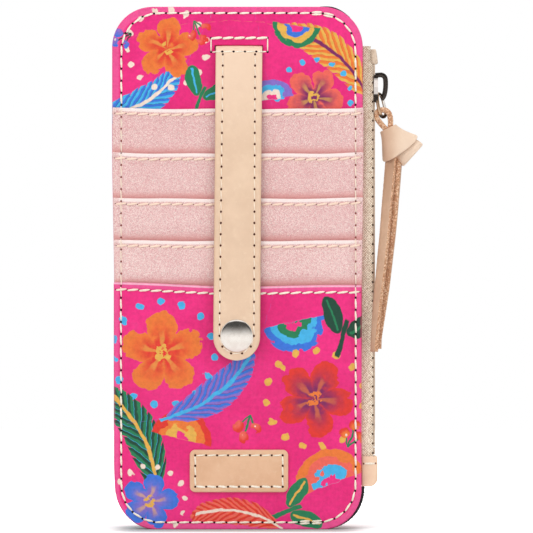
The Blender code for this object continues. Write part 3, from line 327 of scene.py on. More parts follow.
def shell(name, front, back, finish, body, keep=None, bulge=SHEET_EDGE, tones=None, **options):
    """A closed sheet between two grids of points, with rounded edges. keep says which cells are there."""
    rows, columns = front.shape[:2]
    count = rows * columns
    corners = [Vector(point) for side in (front, back) for point in side.reshape(-1, 3)]
    faces, used = [], {}
    for row in range(rows - 1):
        for column in range(columns - 1):
            if keep is not None and not keep[row, column]:
                continue
            first = row * columns + column
            quad = (first, first + 1, first + columns + 1, first + columns)
            faces += [quad, tuple(count + index for index in reversed(quad))]
            used.update(dict.fromkeys(zip(quad, quad[1:] + quad[:1])))
    rim = [pair for pair in used if (pair[1], pair[0]) not in used]
    pushes = {}
    for start, end in rim:
        along = corners[end] - corners[start]
        through = corners[count + start] - corners[start]
        for index in (start, end):
            pushes[index] = pushes.get(index, Vector()) + through.cross(along).normalized()
    middle = {}
    edges = np.zeros(len(corners) + len(pushes), np.float32)
    marks = np.full(len(edges), 0.5, np.float32)
    if tones is not None:
        marks[:2 * count] = np.tile(tones.reshape(-1), 2)
    for index, push in pushes.items():
        middle[index] = len(corners)
        corners.append((corners[index] + corners[count + index]) / 2 + push.normalized() * bulge)
        edges[middle[index]] = 1.0
        edges[index] = edges[count + index] = 0.6
        marks[middle[index]] = marks[index]
    for start, end in rim:
        faces.append((end, start, middle[start], middle[end]))
        faces.append((middle[end], middle[start], count + start, count + end))
    return piece(name, corners, faces, finish, body, edges=edges, marks=marks, **options)


def skin(first, count, size, closed=False):
    """Faces between rings of corners that follow one another from a first index, with caps at open ends."""
    faces = []
    for index in range(count if closed else count - 1):
        here, there = first + index * size, first + (index + 1) % count * size
        for step in range(size):
            after = (step + 1) % size
            faces.append((here + step, here + after, there + after, there + step))
    if not closed:
        last = first + (count - 1) * size
        faces += [tuple(first + step for step in reversed(range(size))),
                  tuple(last + step for step in range(size))]
    return faces


def loft(name, rings, finish, body, closed=False, **options):
    """A skin through rings of points."""
    corners = [point for ring in rings for point in ring]
    return piece(name, corners, skin(0, len(rings), len(rings[0]), closed), finish, body, **options)


# Shaders


class Value:
    """A value in the shader tree that is being written, so that sums read as plain arithmetic."""

    tree = None

    def __init__(self, socket):
        self.socket = socket

    def of(self, name):
        """Another output of the node that gives this value."""
        return Value(self.socket.node.outputs[name])

    def toward(self, colour, value, low, high, share=1.0):
        """This tone mixed towards a colour, up to a share of it, as a value goes from low to high."""
        return mixed(ramp(value, low, high, 0.0, share), self, colour)

    def __add__(self, other):
        return maths("ADD", self, other)

    def __sub__(self, other):
        return maths("SUBTRACT", self, other)

    def __rsub__(self, other):
        return maths("SUBTRACT", other, self)

    def __mul__(self, other):
        return maths("MULTIPLY", self, other)

    def __truediv__(self, other):
        return maths("DIVIDE", self, other)

    def __pow__(self, other):
        return maths("POWER", self, other)

    def __abs__(self):
        return maths("ABSOLUTE", self)


def feed(socket, value):
    """Links a value to a socket, or sets the socket to a constant."""
    if isinstance(value, Value):
        Value.tree.links.new(value.socket, socket)
    else:
        socket.default_value = value


def node(kind, inputs=None, output=0, **settings):
    """A new shader node's output, or nothing where it has none."""
    made = Value.tree.nodes.new("ShaderNode" + kind)
    for name, value in settings.items():
        setattr(made, name, value)
    for name, value in (inputs or {}).items():
        feed(made.inputs[name], value)
    return None if output is None else Value(made.outputs[output])


def maths(operation, first, second=0.0, third=0.0):
    """The result of one sum."""
    return node("Math", {0: first, 1: second, 2: third}, operation=operation)


def ramp(value, low, high, start=0.0, end=1.0, kind="SMOOTHSTEP"):
    """A value eased from start at low to end at high."""
    sockets = {"Value": value, "From Min": low, "From Max": high, "To Min": start, "To Max": end}
    return node("MapRange", sockets, "Result", interpolation_type=kind)


def mixed(share, first, second, blend="MIX"):
    """Two colours mixed."""
    return node("Mix", {0: share, 6: first, 7: second}, 2, data_type="RGBA", blend_type=blend)


def two_tone(value, low, high, first, second):
    """A tone that goes from the first to the second as a value goes from low to high."""
    return mixed(ramp(value, low, high), first, second)


def split(vector, kind="XYZ"):
    """The three parts of a vector or a colour."""
    made = node("Separate" + kind, {0: vector})
    return [made.of(index) for index in range(3)]


def millimetres():
    """The place on the piece at rest, in millimetres."""
    return node("VectorMath", {0: node("TexCoord", output="Object"), "Scale": 1000.0}, operation="SCALE")


def speckle(place, scale, detail=3.0, roughness=0.6):
    """Noise from 0 to 1 with features 1/scale millimetres wide."""
    return node("TexNoise", {"Vector": place, "Scale": scale, "Detail": detail, "Roughness": roughness},
                "Fac")


def crumbs(place, scale):
    """A cell pattern's distances, and three random shares for each cell."""
    cells = node("TexVoronoi", {"Vector": place, "Scale": scale}, "Distance", feature="F1")
    return cells, *split(cells.of("Color"), "Color")


def waves(place, way, scale, distortion, detail_scale=1.0):
    """Slightly uneven bands across a direction."""
    return node("TexWave", {"Vector": place, "Scale": scale, "Distortion": distortion, "Detail": 1.0,
                            "Detail Scale": detail_scale}, "Fac", bands_direction=way)


def marked(name):
    """A number that the mesh carries: the share of a rim (edge), or a mark for painted highlight and shade
    (tone).
    """
    return node("Attribute", output="Fac", attribute_name=name)


def new_material(name):
    """An empty material, whose tree is written next."""
    made = bpy.data.materials.new(name)
    made.use_nodes = True
    Value.tree = made.node_tree
    return made


def surface(made, tone, roughness, height, relief, **inputs):
    """Feeds a material's shader; an underscore stands for a space in the names of its inputs."""
    sockets = made.node_tree.nodes["Principled BSDF"].inputs
    for name, value in {"Base_Color": tone, "Roughness": roughness, **inputs}.items():
        feed(sockets[name.replace("_", " ")], value)
    feed(sockets["Normal"], node("Bump", {"Height": height, "Distance": relief, "Strength": 1.0}, "Normal"))
    return made


# The print


PINK = srgb(248, 36, 134)
DEEP_PINK = srgb(238, 24, 124)
LIGHT_PINK = srgb(250, 84, 160)
ORANGE = srgb(243, 126, 48)
GOLD = srgb(238, 184, 78)
RED = srgb(232, 48, 36)
CORAL = srgb(246, 104, 88)
GREEN = srgb(24, 132, 84)
DARK_GREEN = srgb(10, 72, 52)
BLUE = srgb(52, 120, 226)
SKY = srgb(66, 186, 240)
LILAC = srgb(140, 112, 206)
PLUM = srgb(128, 24, 96)
CREAM = srgb(252, 232, 214)
PAINT_SOFTNESS = 0.17


def placed(place, x, z, turn, width, height):
    """The place seen from a motif's own centre, turned in degrees, with its width and height as one."""
    rotation = (0.0, 0.0, math.radians(turn))
    return node("Mapping", {"Vector": place, "Location": (x, z, 0.0), "Rotation": rotation,
                            "Scale": (width, height, 1.0)}, vector_type="TEXTURE")


def length(vector):
    """The length of a vector."""
    return node("VectorMath", {0: vector}, "Value", operation="LENGTH")


def distance(vector, x, z):
    """The distance from a place."""
    return node("VectorMath", {0: vector, 1: (x, z, 0.0)}, "Value", operation="DISTANCE")


def within(value, reach, soft):
    """1 where a value is below a reach, with a soft edge."""
    return ramp(value, reach + soft, reach - soft)


def blossom(ground, local, soft, petal, shade, heart, ring):
    """A flower of five round petals with a dotted ring round it."""
    ring_radius, dots = 1.14, 15.0
    x, z, _ = split(local)
    angle = maths("ARCTAN2", z, x)
    radius = length(local)
    lobes = abs(maths("COSINE", angle * 2.5))
    outline = maths("MULTIPLY_ADD", lobes ** 0.6, 0.42, 0.50)
    tone = two_tone(radius / outline, 0.25, 0.95, shade, petal)
    vein = ramp(lobes, 0.86, 0.99) * ramp(radius, 0.35, 0.62, 1.0, 0.0)
    tone = mixed(vein * 0.55, tone, heart)
    tone = mixed(within(radius, 0.20, soft), tone, heart)
    tone = mixed(within(radius, 0.09, soft), tone, shade)
    ground = mixed(ramp(outline - radius, -soft, soft), ground, tone)
    turns = maths("FRACT", maths("MULTIPLY_ADD", angle, dots / math.tau, 0.5))
    side = (turns - 0.5) * (math.tau * ring_radius / dots)
    far = maths("SQRT", side ** 2.0 + (radius - ring_radius) ** 2.0)
    return mixed(within(far, 0.085, soft), ground, ring)


def arch(ground, local, soft, outer, middle, inner):
    """A half ring in three bands."""
    radius = length(local)
    above = ramp(split(local)[1], -soft, soft)
    for reach, tone in ((1.0, outer), (0.78, middle), (0.55, inner), (0.30, PINK)):
        ground = mixed(within(radius, reach, soft) * above, ground, tone)
    return ground


def leaves(ground, local, soft, face, rib):
    """A pair of oval leaves on either side of a stalk."""
    x, along, _ = split(local)
    beside = abs(x)
    leaf = placed(node("CombineXYZ", {0: beside, 1: along}), 0.42, 0.30, 52.0, 0.50, 0.24)
    reach = length(leaf)
    ground = mixed(within(reach, 1.0, 3 * soft), ground, face)
    spine = ramp(abs(split(leaf)[1]), 0.16, 0.08) * ramp(reach, 0.86, 0.80)
    ground = mixed(spine, ground, rib)
    stalk = within(beside, 0.06, soft) * ramp(abs(along + 0.2), 0.5, 0.45)
    return mixed(stalk, ground, face)


def berries(ground, local, soft, face, shade, glint, stalk):
    """Three round berries on short stalks, each shaded on one side and touched with light."""
    tip = 0.95
    spots = ((-0.58, 0.0), (0.56, 0.10), (0.0, -0.62))
    x, z, _ = split(local)
    under_tip = z - tip
    for spot_x, spot_z in spots:
        beside = abs(x - under_tip * (spot_x / (spot_z - tip)))
        along = ramp(z, spot_z - soft, spot_z + soft) * within(z, tip, soft)
        ground = mixed(within(beside, 0.07, soft) * along, ground, stalk)
    for spot_x, spot_z in spots:
        away = distance(local, spot_x, spot_z)
        lit = distance(local, spot_x - 0.14, spot_z + 0.16)
        tone = two_tone(lit, 0.16, 0.52, face, shade)
        tone = mixed(within(lit, 0.10, soft), tone, glint)
        ground = mixed(within(away, 0.42, soft), ground, tone)
    return ground


def feather(ground, local, soft, face, stripe, rib, edge):
    """A long plume: a curved rib with slanting strokes in two tones on either side."""
    x, along, _ = split(local)
    squared = along ** 2.0
    beside = abs(x + squared * 0.22)
    taper = maths("SQRT", maths("MAXIMUM", 1.0 - squared))
    strokes = maths("FRACT", maths("MULTIPLY_ADD", along, 5.5, beside * -9.0))
    outline = taper * 0.30 - ramp(strokes, 0.72, 0.98) * 0.05
    tone = two_tone(strokes, 0.36, 0.56, face, stripe).toward(edge, strokes, 0.90, 0.98)
    ground = mixed(ramp(outline - beside, -soft, soft), ground, tone)
    return mixed(within(beside, 0.030, soft) * within(abs(along + 0.12), 1.0, soft), ground, rib)


# Motifs in millimetres: kind, x, z, size, turn in degrees, tones
FRONT_PRINT = [
    (feather, -36.5, 163.0, 19.0, -62.0, SKY, BLUE, CREAM, DARK_GREEN),
    (blossom, -27.0, 184.0, 13.5, 12.0, ORANGE, RED, GOLD, CREAM),
    (leaves, -13.5, 166.5, 12.0, -24.0, GREEN, SKY),
    (berries, -14.5, 190.0, 5.0, 25.0, CORAL, RED, CREAM, GREEN),
    (feather, 36.0, 183.0, 21.0, 52.0, GOLD, ORANGE, PLUM, RED),
    (blossom, 29.5, 165.5, 12.5, -10.0, CORAL, PLUM, GOLD, SKY),
    (arch, 22.5, 193.0, 9.0, 172.0, GREEN, GOLD, BLUE),
    (berries, -44.5, 188.0, 4.6, -60.0, LILAC, BLUE, CREAM, DARK_GREEN),
    (arch, 13.5, 164.5, 8.0, 10.0, LILAC, SKY, CREAM),
    (blossom, -28.5, 67.5, 17.5, 20.0, ORANGE, RED, GOLD, SKY),
    (feather, -37.0, 37.0, 23.0, 28.0, GREEN, DARK_GREEN, GOLD, SKY),
    (arch, -21.5, 34.5, 11.5, -14.0, RED, ORANGE, GOLD),
    (blossom, -33.5, 11.0, 12.0, 5.0, BLUE, LILAC, GOLD, CREAM),
    (feather, -7.5, 52.0, 21.0, -52.0, LILAC, BLUE, SKY, PLUM),
    (berries, 3.5, 38.5, 5.6, -15.0, CORAL, RED, CREAM, GREEN),
    (arch, 21.5, 79.5, 12.0, 192.0, BLUE, SKY, GREEN),
    (blossom, 29.5, 50.0, 16.5, -8.0, RED, PLUM, ORANGE, GOLD),
    (leaves, 41.0, 76.0, 15.0, -18.0, DARK_GREEN, GREEN),
    (berries, 44.0, 36.5, 5.4, 160.0, ORANGE, RED, CREAM, GREEN),
    (arch, 36.0, 17.5, 13.5, 20.0, ORANGE, CORAL, SKY),
    (leaves, 21.0, 7.5, 13.0, -70.0, GREEN, GOLD),
    (feather, -1.0, 7.0, 17.0, 84.0, CORAL, RED, CREAM, ORANGE),
]
BACK_PRINT = [
    (blossom, -24.0, 168.0, 17.0, 10.0, ORANGE, RED, GOLD, SKY),
    (arch, 22.0, 180.0, 14.0, -12.0, BLUE, SKY, GREEN),
    (leaves, 2.0, 152.0, 18.0, 30.0, GREEN, SKY),
    (blossom, 26.0, 136.0, 16.0, -18.0, RED, PLUM, ORANGE, GOLD),
    (feather, -28.0, 122.0, 24.0, 40.0, GOLD, ORANGE, PLUM, RED),
    (berries, -1.0, 118.0, 6.5, 24.0, CORAL, RED, CREAM, GREEN),
    (feather, 2.0, 187.0, 17.0, -75.0, LILAC, BLUE, SKY, PLUM),
    (blossom, -16.0, 86.0, 16.0, 30.0, BLUE, LILAC, GOLD, CREAM),
    (leaves, 22.0, 94.0, 18.0, -22.0, DARK_GREEN, GREEN),
    (berries, 39.0, 112.0, 6.0, 60.0, ORANGE, RED, CREAM, DARK_GREEN),
    (blossom, 24.0, 54.0, 17.0, 0.0, CORAL, PLUM, GOLD, SKY),
    (arch, -28.0, 50.0, 13.0, 16.0, RED, ORANGE, GOLD),
    (feather, -6.0, 30.0, 20.0, 62.0, GREEN, DARK_GREEN, GOLD, SKY),
    (blossom, -30.0, 15.0, 12.0, 0.0, ORANGE, RED, GOLD, CREAM),
    (arch, 32.0, 14.0, 12.0, 190.0, BLUE, SKY, GREEN),
    (arch, -40.0, 146.0, 10.0, 80.0, LILAC, SKY, CREAM),
    (berries, -38.0, 76.0, 6.0, -30.0, CORAL, RED, CREAM, GREEN),
    (leaves, -37.0, 104.0, 13.0, 8.0, GREEN, GOLD),
    (berries, 4.0, 68.0, 5.6, 10.0, LILAC, BLUE, CREAM, DARK_GREEN),
    (feather, 40.0, 78.0, 16.0, -24.0, CORAL, RED, CREAM, ORANGE),
    (leaves, 8.0, 13.0, 12.0, -40.0, DARK_GREEN, SKY),
]


def canvas_material(name, motifs, mirror=1.0):
    """Coated canvas with a painted print of blossoms, plumes, leaves, arches and berries."""
    made = new_material(name)
    place = millimetres()
    across, _, up = split(place)
    flat = node("CombineXYZ", {0: across * mirror, 1: up})
    wobble = node("TexNoise", {"Vector": flat, "Scale": 0.16, "Detail": 3.0, "Roughness": 0.55}, "Color")
    shift = node("VectorMath", {0: wobble, 1: (0.5, 0.5, 0.5)}, operation="SUBTRACT")
    shift = node("VectorMath", {0: shift, "Scale": 2.6}, operation="SCALE")
    drawn = node("VectorMath", {0: flat, 1: shift}, operation="ADD")
    tone = two_tone(speckle(flat, 0.045, 4.0, 0.55), 0.38, 0.62, DEEP_PINK, PINK)
    tone = tone.toward(LIGHT_PINK, speckle(flat, 0.11, 3.0), 0.58, 0.76, 0.16)
    mark = marked("tone")
    # Painted highlight on the border outside the seam, from the marks
    tone = tone.toward(srgb(255, 150, 205), mark, 0.5, 1.0, 0.24)
    for kind, x, z, size, turn, *tones in motifs:
        tone = kind(tone, placed(drawn, x, z, turn, size, size), PAINT_SOFTNESS / size, *tones)
    # Painted highlight: a pale line along the lower pocket's folded mouth, over the print
    tone = tone.toward(srgb(255, 205, 226), mark, 1.0, 2.0, 0.85)
    strokes = two_tone(speckle(flat, 0.55, 5.0, 0.7), 0.32, 0.62, srgb(222, 214, 218), srgb(255, 255, 255))
    tone = mixed(0.45, tone, strokes, "MULTIPLY")
    weave = waves(place, "X", 0.62, 0.6) * waves(place, "Z", 0.62, 0.6)
    tone = mixed(ramp(weave, 0.0, 0.5, 0.08, 0.0), tone, srgb(120, 10, 60), "MULTIPLY")
    tone = mixed(marked("edge") * 0.35, tone, DEEP_PINK)
    gloss = ramp(speckle(place, 0.5), 0.3, 0.7, 0.36, 0.52)
    height = maths("MULTIPLY_ADD", speckle(place, 1.6), 0.6, weave)
    return surface(made, tone, gloss, height, 0.000045, Specular_IOR_Level=0.4, Coat_Weight=0.18,
                   Coat_Roughness=0.35)


# Other materials


def glitter_material():
    """Pink sheet covered in fine glitter, with a painted highlight over its folded mouth and painted shade at
    its foot.
    """
    made = new_material("glitter_pink")
    place = millimetres()
    _, flake, flake_rise, _ = crumbs(place, 2.7)
    _, metal, grain, fleck = crumbs(place, 5.2)
    tone = two_tone(speckle(place, 0.035, 1.0), 0.38, 0.62, srgb(233, 186, 184), srgb(239, 198, 195))
    upper = ramp(split(place)[2], LOWER_MOUTH / MM, MOUTHS[0] / MM, 0.0, 0.75, "LINEAR")
    tone = mixed(upper, tone, srgb(226, 172, 172))
    tone = mixed(ramp(flake, 0.0, 1.0, 0.62, 0.0, "LINEAR"), tone, srgb(208, 138, 142))
    tone = tone.toward(srgb(255, 238, 230), grain, 0.40, 0.95, 0.85)
    tone = tone.toward(srgb(196, 192, 186), fleck, 0.90, 0.95, 0.45)
    mark = marked("tone")
    # Painted shade at each sheet's foot, above the next pocket's mouth, and a painted highlight over its
    # folded mouth
    tone = tone.toward(srgb(222, 152, 148), mark, 0.5, 0.0, 0.90)
    tone = tone.toward(srgb(255, 240, 236), mark, 0.5, 1.0, 0.90)
    height = maths("MULTIPLY_ADD", flake_rise, 0.7, speckle(place, 2.2))
    return surface(made, tone, ramp(grain, 0.7, 1.0, 0.55, 0.25), height, 0.00006,
                   Metallic=ramp(metal, 0.88, 0.92, 0.0, 0.4))


def leather_material(name, base, dark, light, grain, roughness, scale, worn=0.6, rim=None, painted_light_and_shade=()):
    """Natural leather: pebbled grain, pores, soft blotches and paler, worn edges.

    rim is the tone of a painted shade on the edges marked for it. The ramps in the last argument are painted
    light and shade: (axis, none at, full at, share, tone), in millimetres."""
    made = new_material(name)
    base, dark, light = srgb(*base), srgb(*dark), srgb(*light)
    place = millimetres()
    blotch = speckle(place, 0.09, 4.0, 0.6)
    tone = two_tone(blotch, 0.36, 0.64, dark, base)
    tone = tone.toward(light, speckle(place, 0.5, 5.0, 0.7), 0.5, 0.8, 0.5)
    cells = node("TexVoronoi", {"Vector": place, "Scale": scale, "Randomness": 0.9}, "Distance",
                 feature="DISTANCE_TO_EDGE")
    creases = ramp(cells, 0.0, 0.12)
    tone = mixed(maths("MULTIPLY_ADD", creases, -0.16, 0.16), tone, dark)
    tone = tone.toward(dark, speckle(place, 3.4, 2.0), 0.62, 0.70, 0.35)
    tone = mixed(marked("edge") * worn, tone, light)
    # Painted shade on the marked edges, in the rim tone
    if rim:
        tone = tone.toward(srgb(*rim), marked("tone"), 0.5, 0.0, 0.55)
    # Ramps of painted light and shade along an axis
    for axis, none_at, full_at, share, shade in painted_light_and_shade:
        tone = tone.toward(srgb(*shade), split(place)[axis], none_at, full_at, share)
    height = maths("MULTIPLY_ADD", speckle(place, 2.4, 4.0), 0.7, creases)
    return surface(made, tone, ramp(blotch, 0.3, 0.7, *roughness), height, grain, Specular_IOR_Level=0.35)


def cut_edge_material():
    """The rough, crumbly cut side of a leather lace."""
    made = new_material("lace_cut_edge")
    place = millimetres()
    apart, chance, bright, _ = crumbs(place, 2.0)
    tone = two_tone(chance, 0.1, 0.9, srgb(208, 150, 112), srgb(244, 198, 160))
    tone = tone.toward(srgb(146, 90, 58), apart, 0.34, 0.62, 0.50)
    tone = tone.toward(srgb(250, 216, 184), bright, 0.80, 0.90, 0.85)
    height = maths("MULTIPLY_ADD", apart, -1.0, speckle(place, 1.4))
    return surface(made, tone, 0.9, height, 0.00025)


def over_sheets(place):
    """1 where a seam lies on the glitter sheets and 0 where it lies on the canvas."""
    height = split(place)[2]
    return (ramp(height, LOWER_MOUTH / MM - 3.0, LOWER_MOUTH / MM - 1.5)
            * within(height, MOUTHS[0] / MM, 0.5))


def thread_material(name, dark, light, on_sheets):
    """Waxed, twisted thread, with a second tone where it lies on the glitter sheets."""
    made = new_material(name)
    place = millimetres()
    fibre = speckle(place, 4.0, 3.0)
    tone = two_tone(fibre, 0.35, 0.65, srgb(*dark), srgb(*light))
    tone = mixed(over_sheets(place) * 0.7, tone, srgb(*on_sheets))
    return surface(made, tone, 0.55, fibre, 0.00003, Sheen_Weight=0.15)


def hole_material():
    """Painted shade inside a needle hole: nearly black in canvas and brown in the glitter sheets."""
    made = new_material("needle_hole")
    place = millimetres()
    grain = speckle(place, 3.0)
    share = ramp(grain, 0.3, 0.7)
    tone = mixed(over_sheets(place), mixed(share, srgb(24, 10, 14), srgb(52, 22, 24)),
                 mixed(share, srgb(128, 56, 46), srgb(160, 80, 64)))
    return surface(made, tone, 0.9, grain, 0.00003)


def speckled_material(name, dark, light, roughness, scale=1.2, metallic=0.0, relief=0.00003):
    """A surface with fine speckles in two tones."""
    made = new_material(name)
    grain = speckle(millimetres(), scale, 4.0)
    tone = two_tone(grain, 0.35, 0.65, srgb(*dark), srgb(*light))
    return surface(made, tone, ramp(grain, 0.3, 0.7, roughness * 0.85, roughness * 1.15), grain, relief,
                   Metallic=metallic)


def tape_material():
    """Closely woven zip tape, mottled like rough linen and darker towards its top."""
    made = new_material("woven_tape")
    place = millimetres()
    threads, picks = (maths("MULTIPLY_ADD", waves(place, way, 0.33, 0.7, 1.5), 2.0, -1.0)
                      for way in ("X", "Z"))
    weave = maths("MULTIPLY_ADD", threads * picks, 0.21, speckle(place, 1.3, 2.0, 0.7))
    tone = two_tone(weave, 0.26, 0.70, srgb(184, 154, 126), srgb(255, 244, 224))
    tone = tone.toward(srgb(233, 214, 190), speckle(place, 0.12), 0.4, 0.6, 0.15)
    tone = mixed(ramp(split(place)[2], 110.0, 178.0), tone, srgb(226, 220, 217), "MULTIPLY")
    return surface(made, tone, 0.85, weave, 0.00006, Sheen_Weight=0.2)


def slider_material():
    """Dark plated metal with a painted reflection: a bright patch over its middle."""
    made = new_material("slider_metal")
    place = millimetres()
    low, high = (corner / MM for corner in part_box("slider_body"))
    across, _, up = split(place)
    grain = speckle(place, 2.0, 3.0)
    height = maths("MULTIPLY_ADD", grain, 0.5, up)
    middle = ramp(height, low.z + 3.0, low.z + 3.5) * ramp(height, high.z - 0.9, high.z - 1.3)
    # Painted reflection: the bright patch over the middle of the outer plate
    bright = middle * ramp(across, high.x - 2.25, high.x - 2.10)
    dark = two_tone(grain, 0.3, 0.7, srgb(46, 40, 37), srgb(74, 66, 61))
    return surface(made, mixed(bright, dark, srgb(240, 230, 224)), ramp(grain, 0.3, 0.7, 0.22, 0.32), grain,
                   0.000006, Metallic=1.0)


def link_material():
    """Polished nickel with a painted reflection of the leather on its left side, and painted dark at its
    foot.
    """
    made = new_material("link_nickel")
    place = millimetres()
    across, _, up = split(place)
    grain = speckle(place, 1.5, 3.0)
    head, foot = LINK_PIVOT / MM, LINK_END / MM
    slope = (foot.x - head.x) / (foot.z - head.z)
    beside = across - maths("MULTIPLY_ADD", up, slope, head.x - head.z * slope - 0.4)
    # Painted reflection of the tan leather on the left side, then painted dark towards the foot
    tone = two_tone(beside, -0.5, 0.4, srgb(206, 172, 140), srgb(242, 236, 230))
    tone = tone.toward(srgb(74, 62, 54), maths("MULTIPLY_ADD", grain, 0.6, up), foot.z + 1.6, foot.z + 0.6)
    return surface(made, tone, ramp(grain, 0.3, 0.7, 0.14, 0.22), grain, 0.000002, Metallic=1.0)


# Leather: name, base, dark, light, grain, roughness, scale, worn, rim (tone of a painted edge shade), shades
# (ramps of painted light and shade)
LEATHERS = {
    # The strap: painted shade on its rounded edges, and painted light towards its top
    "strap": ("strap_leather_natural", (238, 207, 178), (231, 199, 170), (248, 222, 196), 0.00004,
              (0.40, 0.55), 1.9, 0.0, (222, 178, 146), [(2, 140.0, 178.0, 0.45, (252, 222, 196))]),
    "suede": ("strap_suede", (222, 190, 160), (202, 168, 136), (232, 204, 176), 0.00010,
              (0.8, 0.95), 3.5, 0.2),
    "label": ("label_leather_natural", (243, 199, 162), (236, 189, 151), (250, 216, 184), 0.00006,
              (0.45, 0.6), 2.4),
    "tab": ("tab_leather_natural", (254, 220, 190), (247, 210, 178), (255, 228, 202), 0.00004,
            (0.42, 0.58), 2.2),
    # The lace: painted shade on its left side and painted light on its right
    "lace": ("lace_leather_natural", (242, 210, 183), (230, 195, 166), (248, 222, 198), 0.00006,
             (0.5, 0.7), 2.6, 0.6, None,
             [(0, 61.5, 55.5, 0.75, (218, 178, 149)), (0, 58.0, 64.0, 0.60, (255, 230, 206))]),
    # The tail: painted shadow towards its top, under the knot
    "tail": ("tail_leather_natural", (224, 186, 156), (210, 171, 141), (236, 202, 174), 0.00006,
             (0.5, 0.7), 2.6, 0.6, None, [(2, 124.0, 140.0, 0.65, (190, 146, 116))]),
}
# Thread: name, dark, light, tone on the glitter sheets
THREADS = {
    "thread": ("cream_thread", (238, 226, 200), (255, 250, 238), (246, 222, 204)),
    "hem_thread": ("natural_thread", (238, 208, 186), (255, 232, 212), (250, 222, 202)),
    "strap_thread": ("strap_thread", (238, 214, 190), (255, 243, 226), (248, 228, 206)),
}
# Speckled surfaces: name, dark, light, roughness, scale, metallic, relief
SPECKLED = {
    "resin": ("moulded_resin", (204, 180, 157), (226, 204, 182), 0.38),
    "gunmetal": ("dark_gunmetal", (58, 52, 48), (84, 77, 72), 0.26, 2.0, 1.0, 0.000006),
    "nickel": ("polished_nickel", (240, 231, 222), (247, 240, 232), 0.12, 0.5, 1.0, 0.0000004),
    "lining": ("dark_lining", (30, 30, 33), (50, 50, 54), 0.8, 2.5),
    # The needle-hole finishes are painted shade inside the holes
    "hole_dark": ("needle_hole_dark", (66, 22, 4), (92, 38, 14), 0.9, 3.0),
    "hole_tape": ("needle_hole_tape", (72, 42, 24), (112, 76, 52), 0.9, 3.0),
    "hole_brown": ("needle_hole_brown", (112, 54, 44), (142, 76, 60), 0.9, 3.0),
    "tape_thread": ("tape_thread", (206, 184, 162), (226, 206, 186), 0.8, 3.0),
}


def make_materials():
    """Every finish by name."""
    finishes = {
        "front_canvas": canvas_material("coated_canvas_front", FRONT_PRINT),
        "back_canvas": canvas_material("coated_canvas_back", BACK_PRINT, -1.0),
        "glitter": glitter_material(),
        "lace_cut": cut_edge_material(),
        "tape": tape_material(),
        "link": link_material(),
        "hole": hole_material(),
        "slider": slider_material(),
    }
    for table, make in ((LEATHERS, leather_material), (THREADS, thread_material),
                        (SPECKLED, speckled_material)):
        for finish, values in table.items():
            finishes[finish] = make(*values)
    return finishes


# Panels


def half_width_at(z, inset=0.0):
    """Half the body's width at a height, inside its rounded corners."""
    radius = CORNER_RADIUS - inset
    from_end = min(z - inset, BODY_HEIGHT - inset - z)
    drop = radius - min(max(from_end, 0.0), radius)
    return HALF_WIDTH - inset - radius + math.sqrt(max(radius * radius - drop * drop, 0.0))


# Columns over a side seam, in millimetres from the side
SEAM_COLUMNS = [0.0, 0.35, 0.8, 1.4, 2.0, 2.5, 2.9, 3.3, 3.7, 4.2, 4.8, 5.6, 6.6]


def side_places():
    """Shares of the half width from one side to the other, close together over the seams."""
    outer = [1.0 - inset * MM / HALF_WIDTH for inset in SEAM_COLUMNS]
    count = int(round(outer[-1] * HALF_WIDTH * 2 / ROW_STEP))
    inner = [-outer[-1] + 2 * outer[-1] * index / count for index in range(1, count)]
    return [-share for share in outer] + inner + list(reversed(outer))


def round_rows(low, high, radius=CORNER_RADIUS, turn=4.5, count=21):
    """Heights of rows over the rounded corners at both ends, a turn in degrees apart."""
    rises = [radius * (1.0 - math.cos(math.radians(turn * step))) for step in range(count)]
    return [low + rise for rise in rises] + [high - rise for rise in rises]


def rows_between(low, high, step, extra=()):
    """Sorted heights from low to high with no gap wider than the step."""
    kept = sorted(z for z in set(extra) | {low, high} if low <= z <= high)
    rows = [kept[0]]
    for z in kept[1:]:
        if z - rows[-1] < 0.00005:
            continue
        start = rows[-1]
        spans = max(1, math.ceil((z - start) / step - 1e-6))
        rows += [start + (z - start) * index / spans for index in range(1, spans + 1)]
    return rows


def panel_places(rows, shares, inset):
    """A grid of (x, z) inside the body's outline."""
    spots = [[(share * half_width_at(z, inset), z) for share in shares] for z in rows]
    return np.array([[(x + drawn_in(x, z), z) for x, z in line] for line in spots])


def painted_border_highlight(places):
    """Marks of a panel for a painted highlight: 1 on the border outside the seam, painted lighter where the
    edge is pressed round and would catch the light.
    """
    def tone_at(x, z):
        beyond = abs(x) - half_width_at(min(max(z, 0.001), BODY_HEIGHT - 0.001), 0.0030)
        beyond = max(beyond, 0.0026 - z, z - BODY_HEIGHT + 0.0026)
        return 0.5 + 0.5 * smooth_step(beyond, -0.0004, 0.0010)

    return mapped(places, tone_at)


def lifted(places, depth, thickness, side, dent_at, seed):
    """Outer and inner grids of points from a grid of outer y values. side is -1 for the front."""
    def uneven(x, z):
        dent = dent_at(x, z) if dent_at else 0.0
        return 0.00012 * noise.noise(Vector((x / 0.024, seed, z / 0.024))) - side * dent

    outer = np.dstack([places[:, :, 0], depth + mapped(places, uneven), places[:, :, 1]])
    inner = outer.copy()
    inner[:, :, 1] -= side * thickness
    return outer, inner


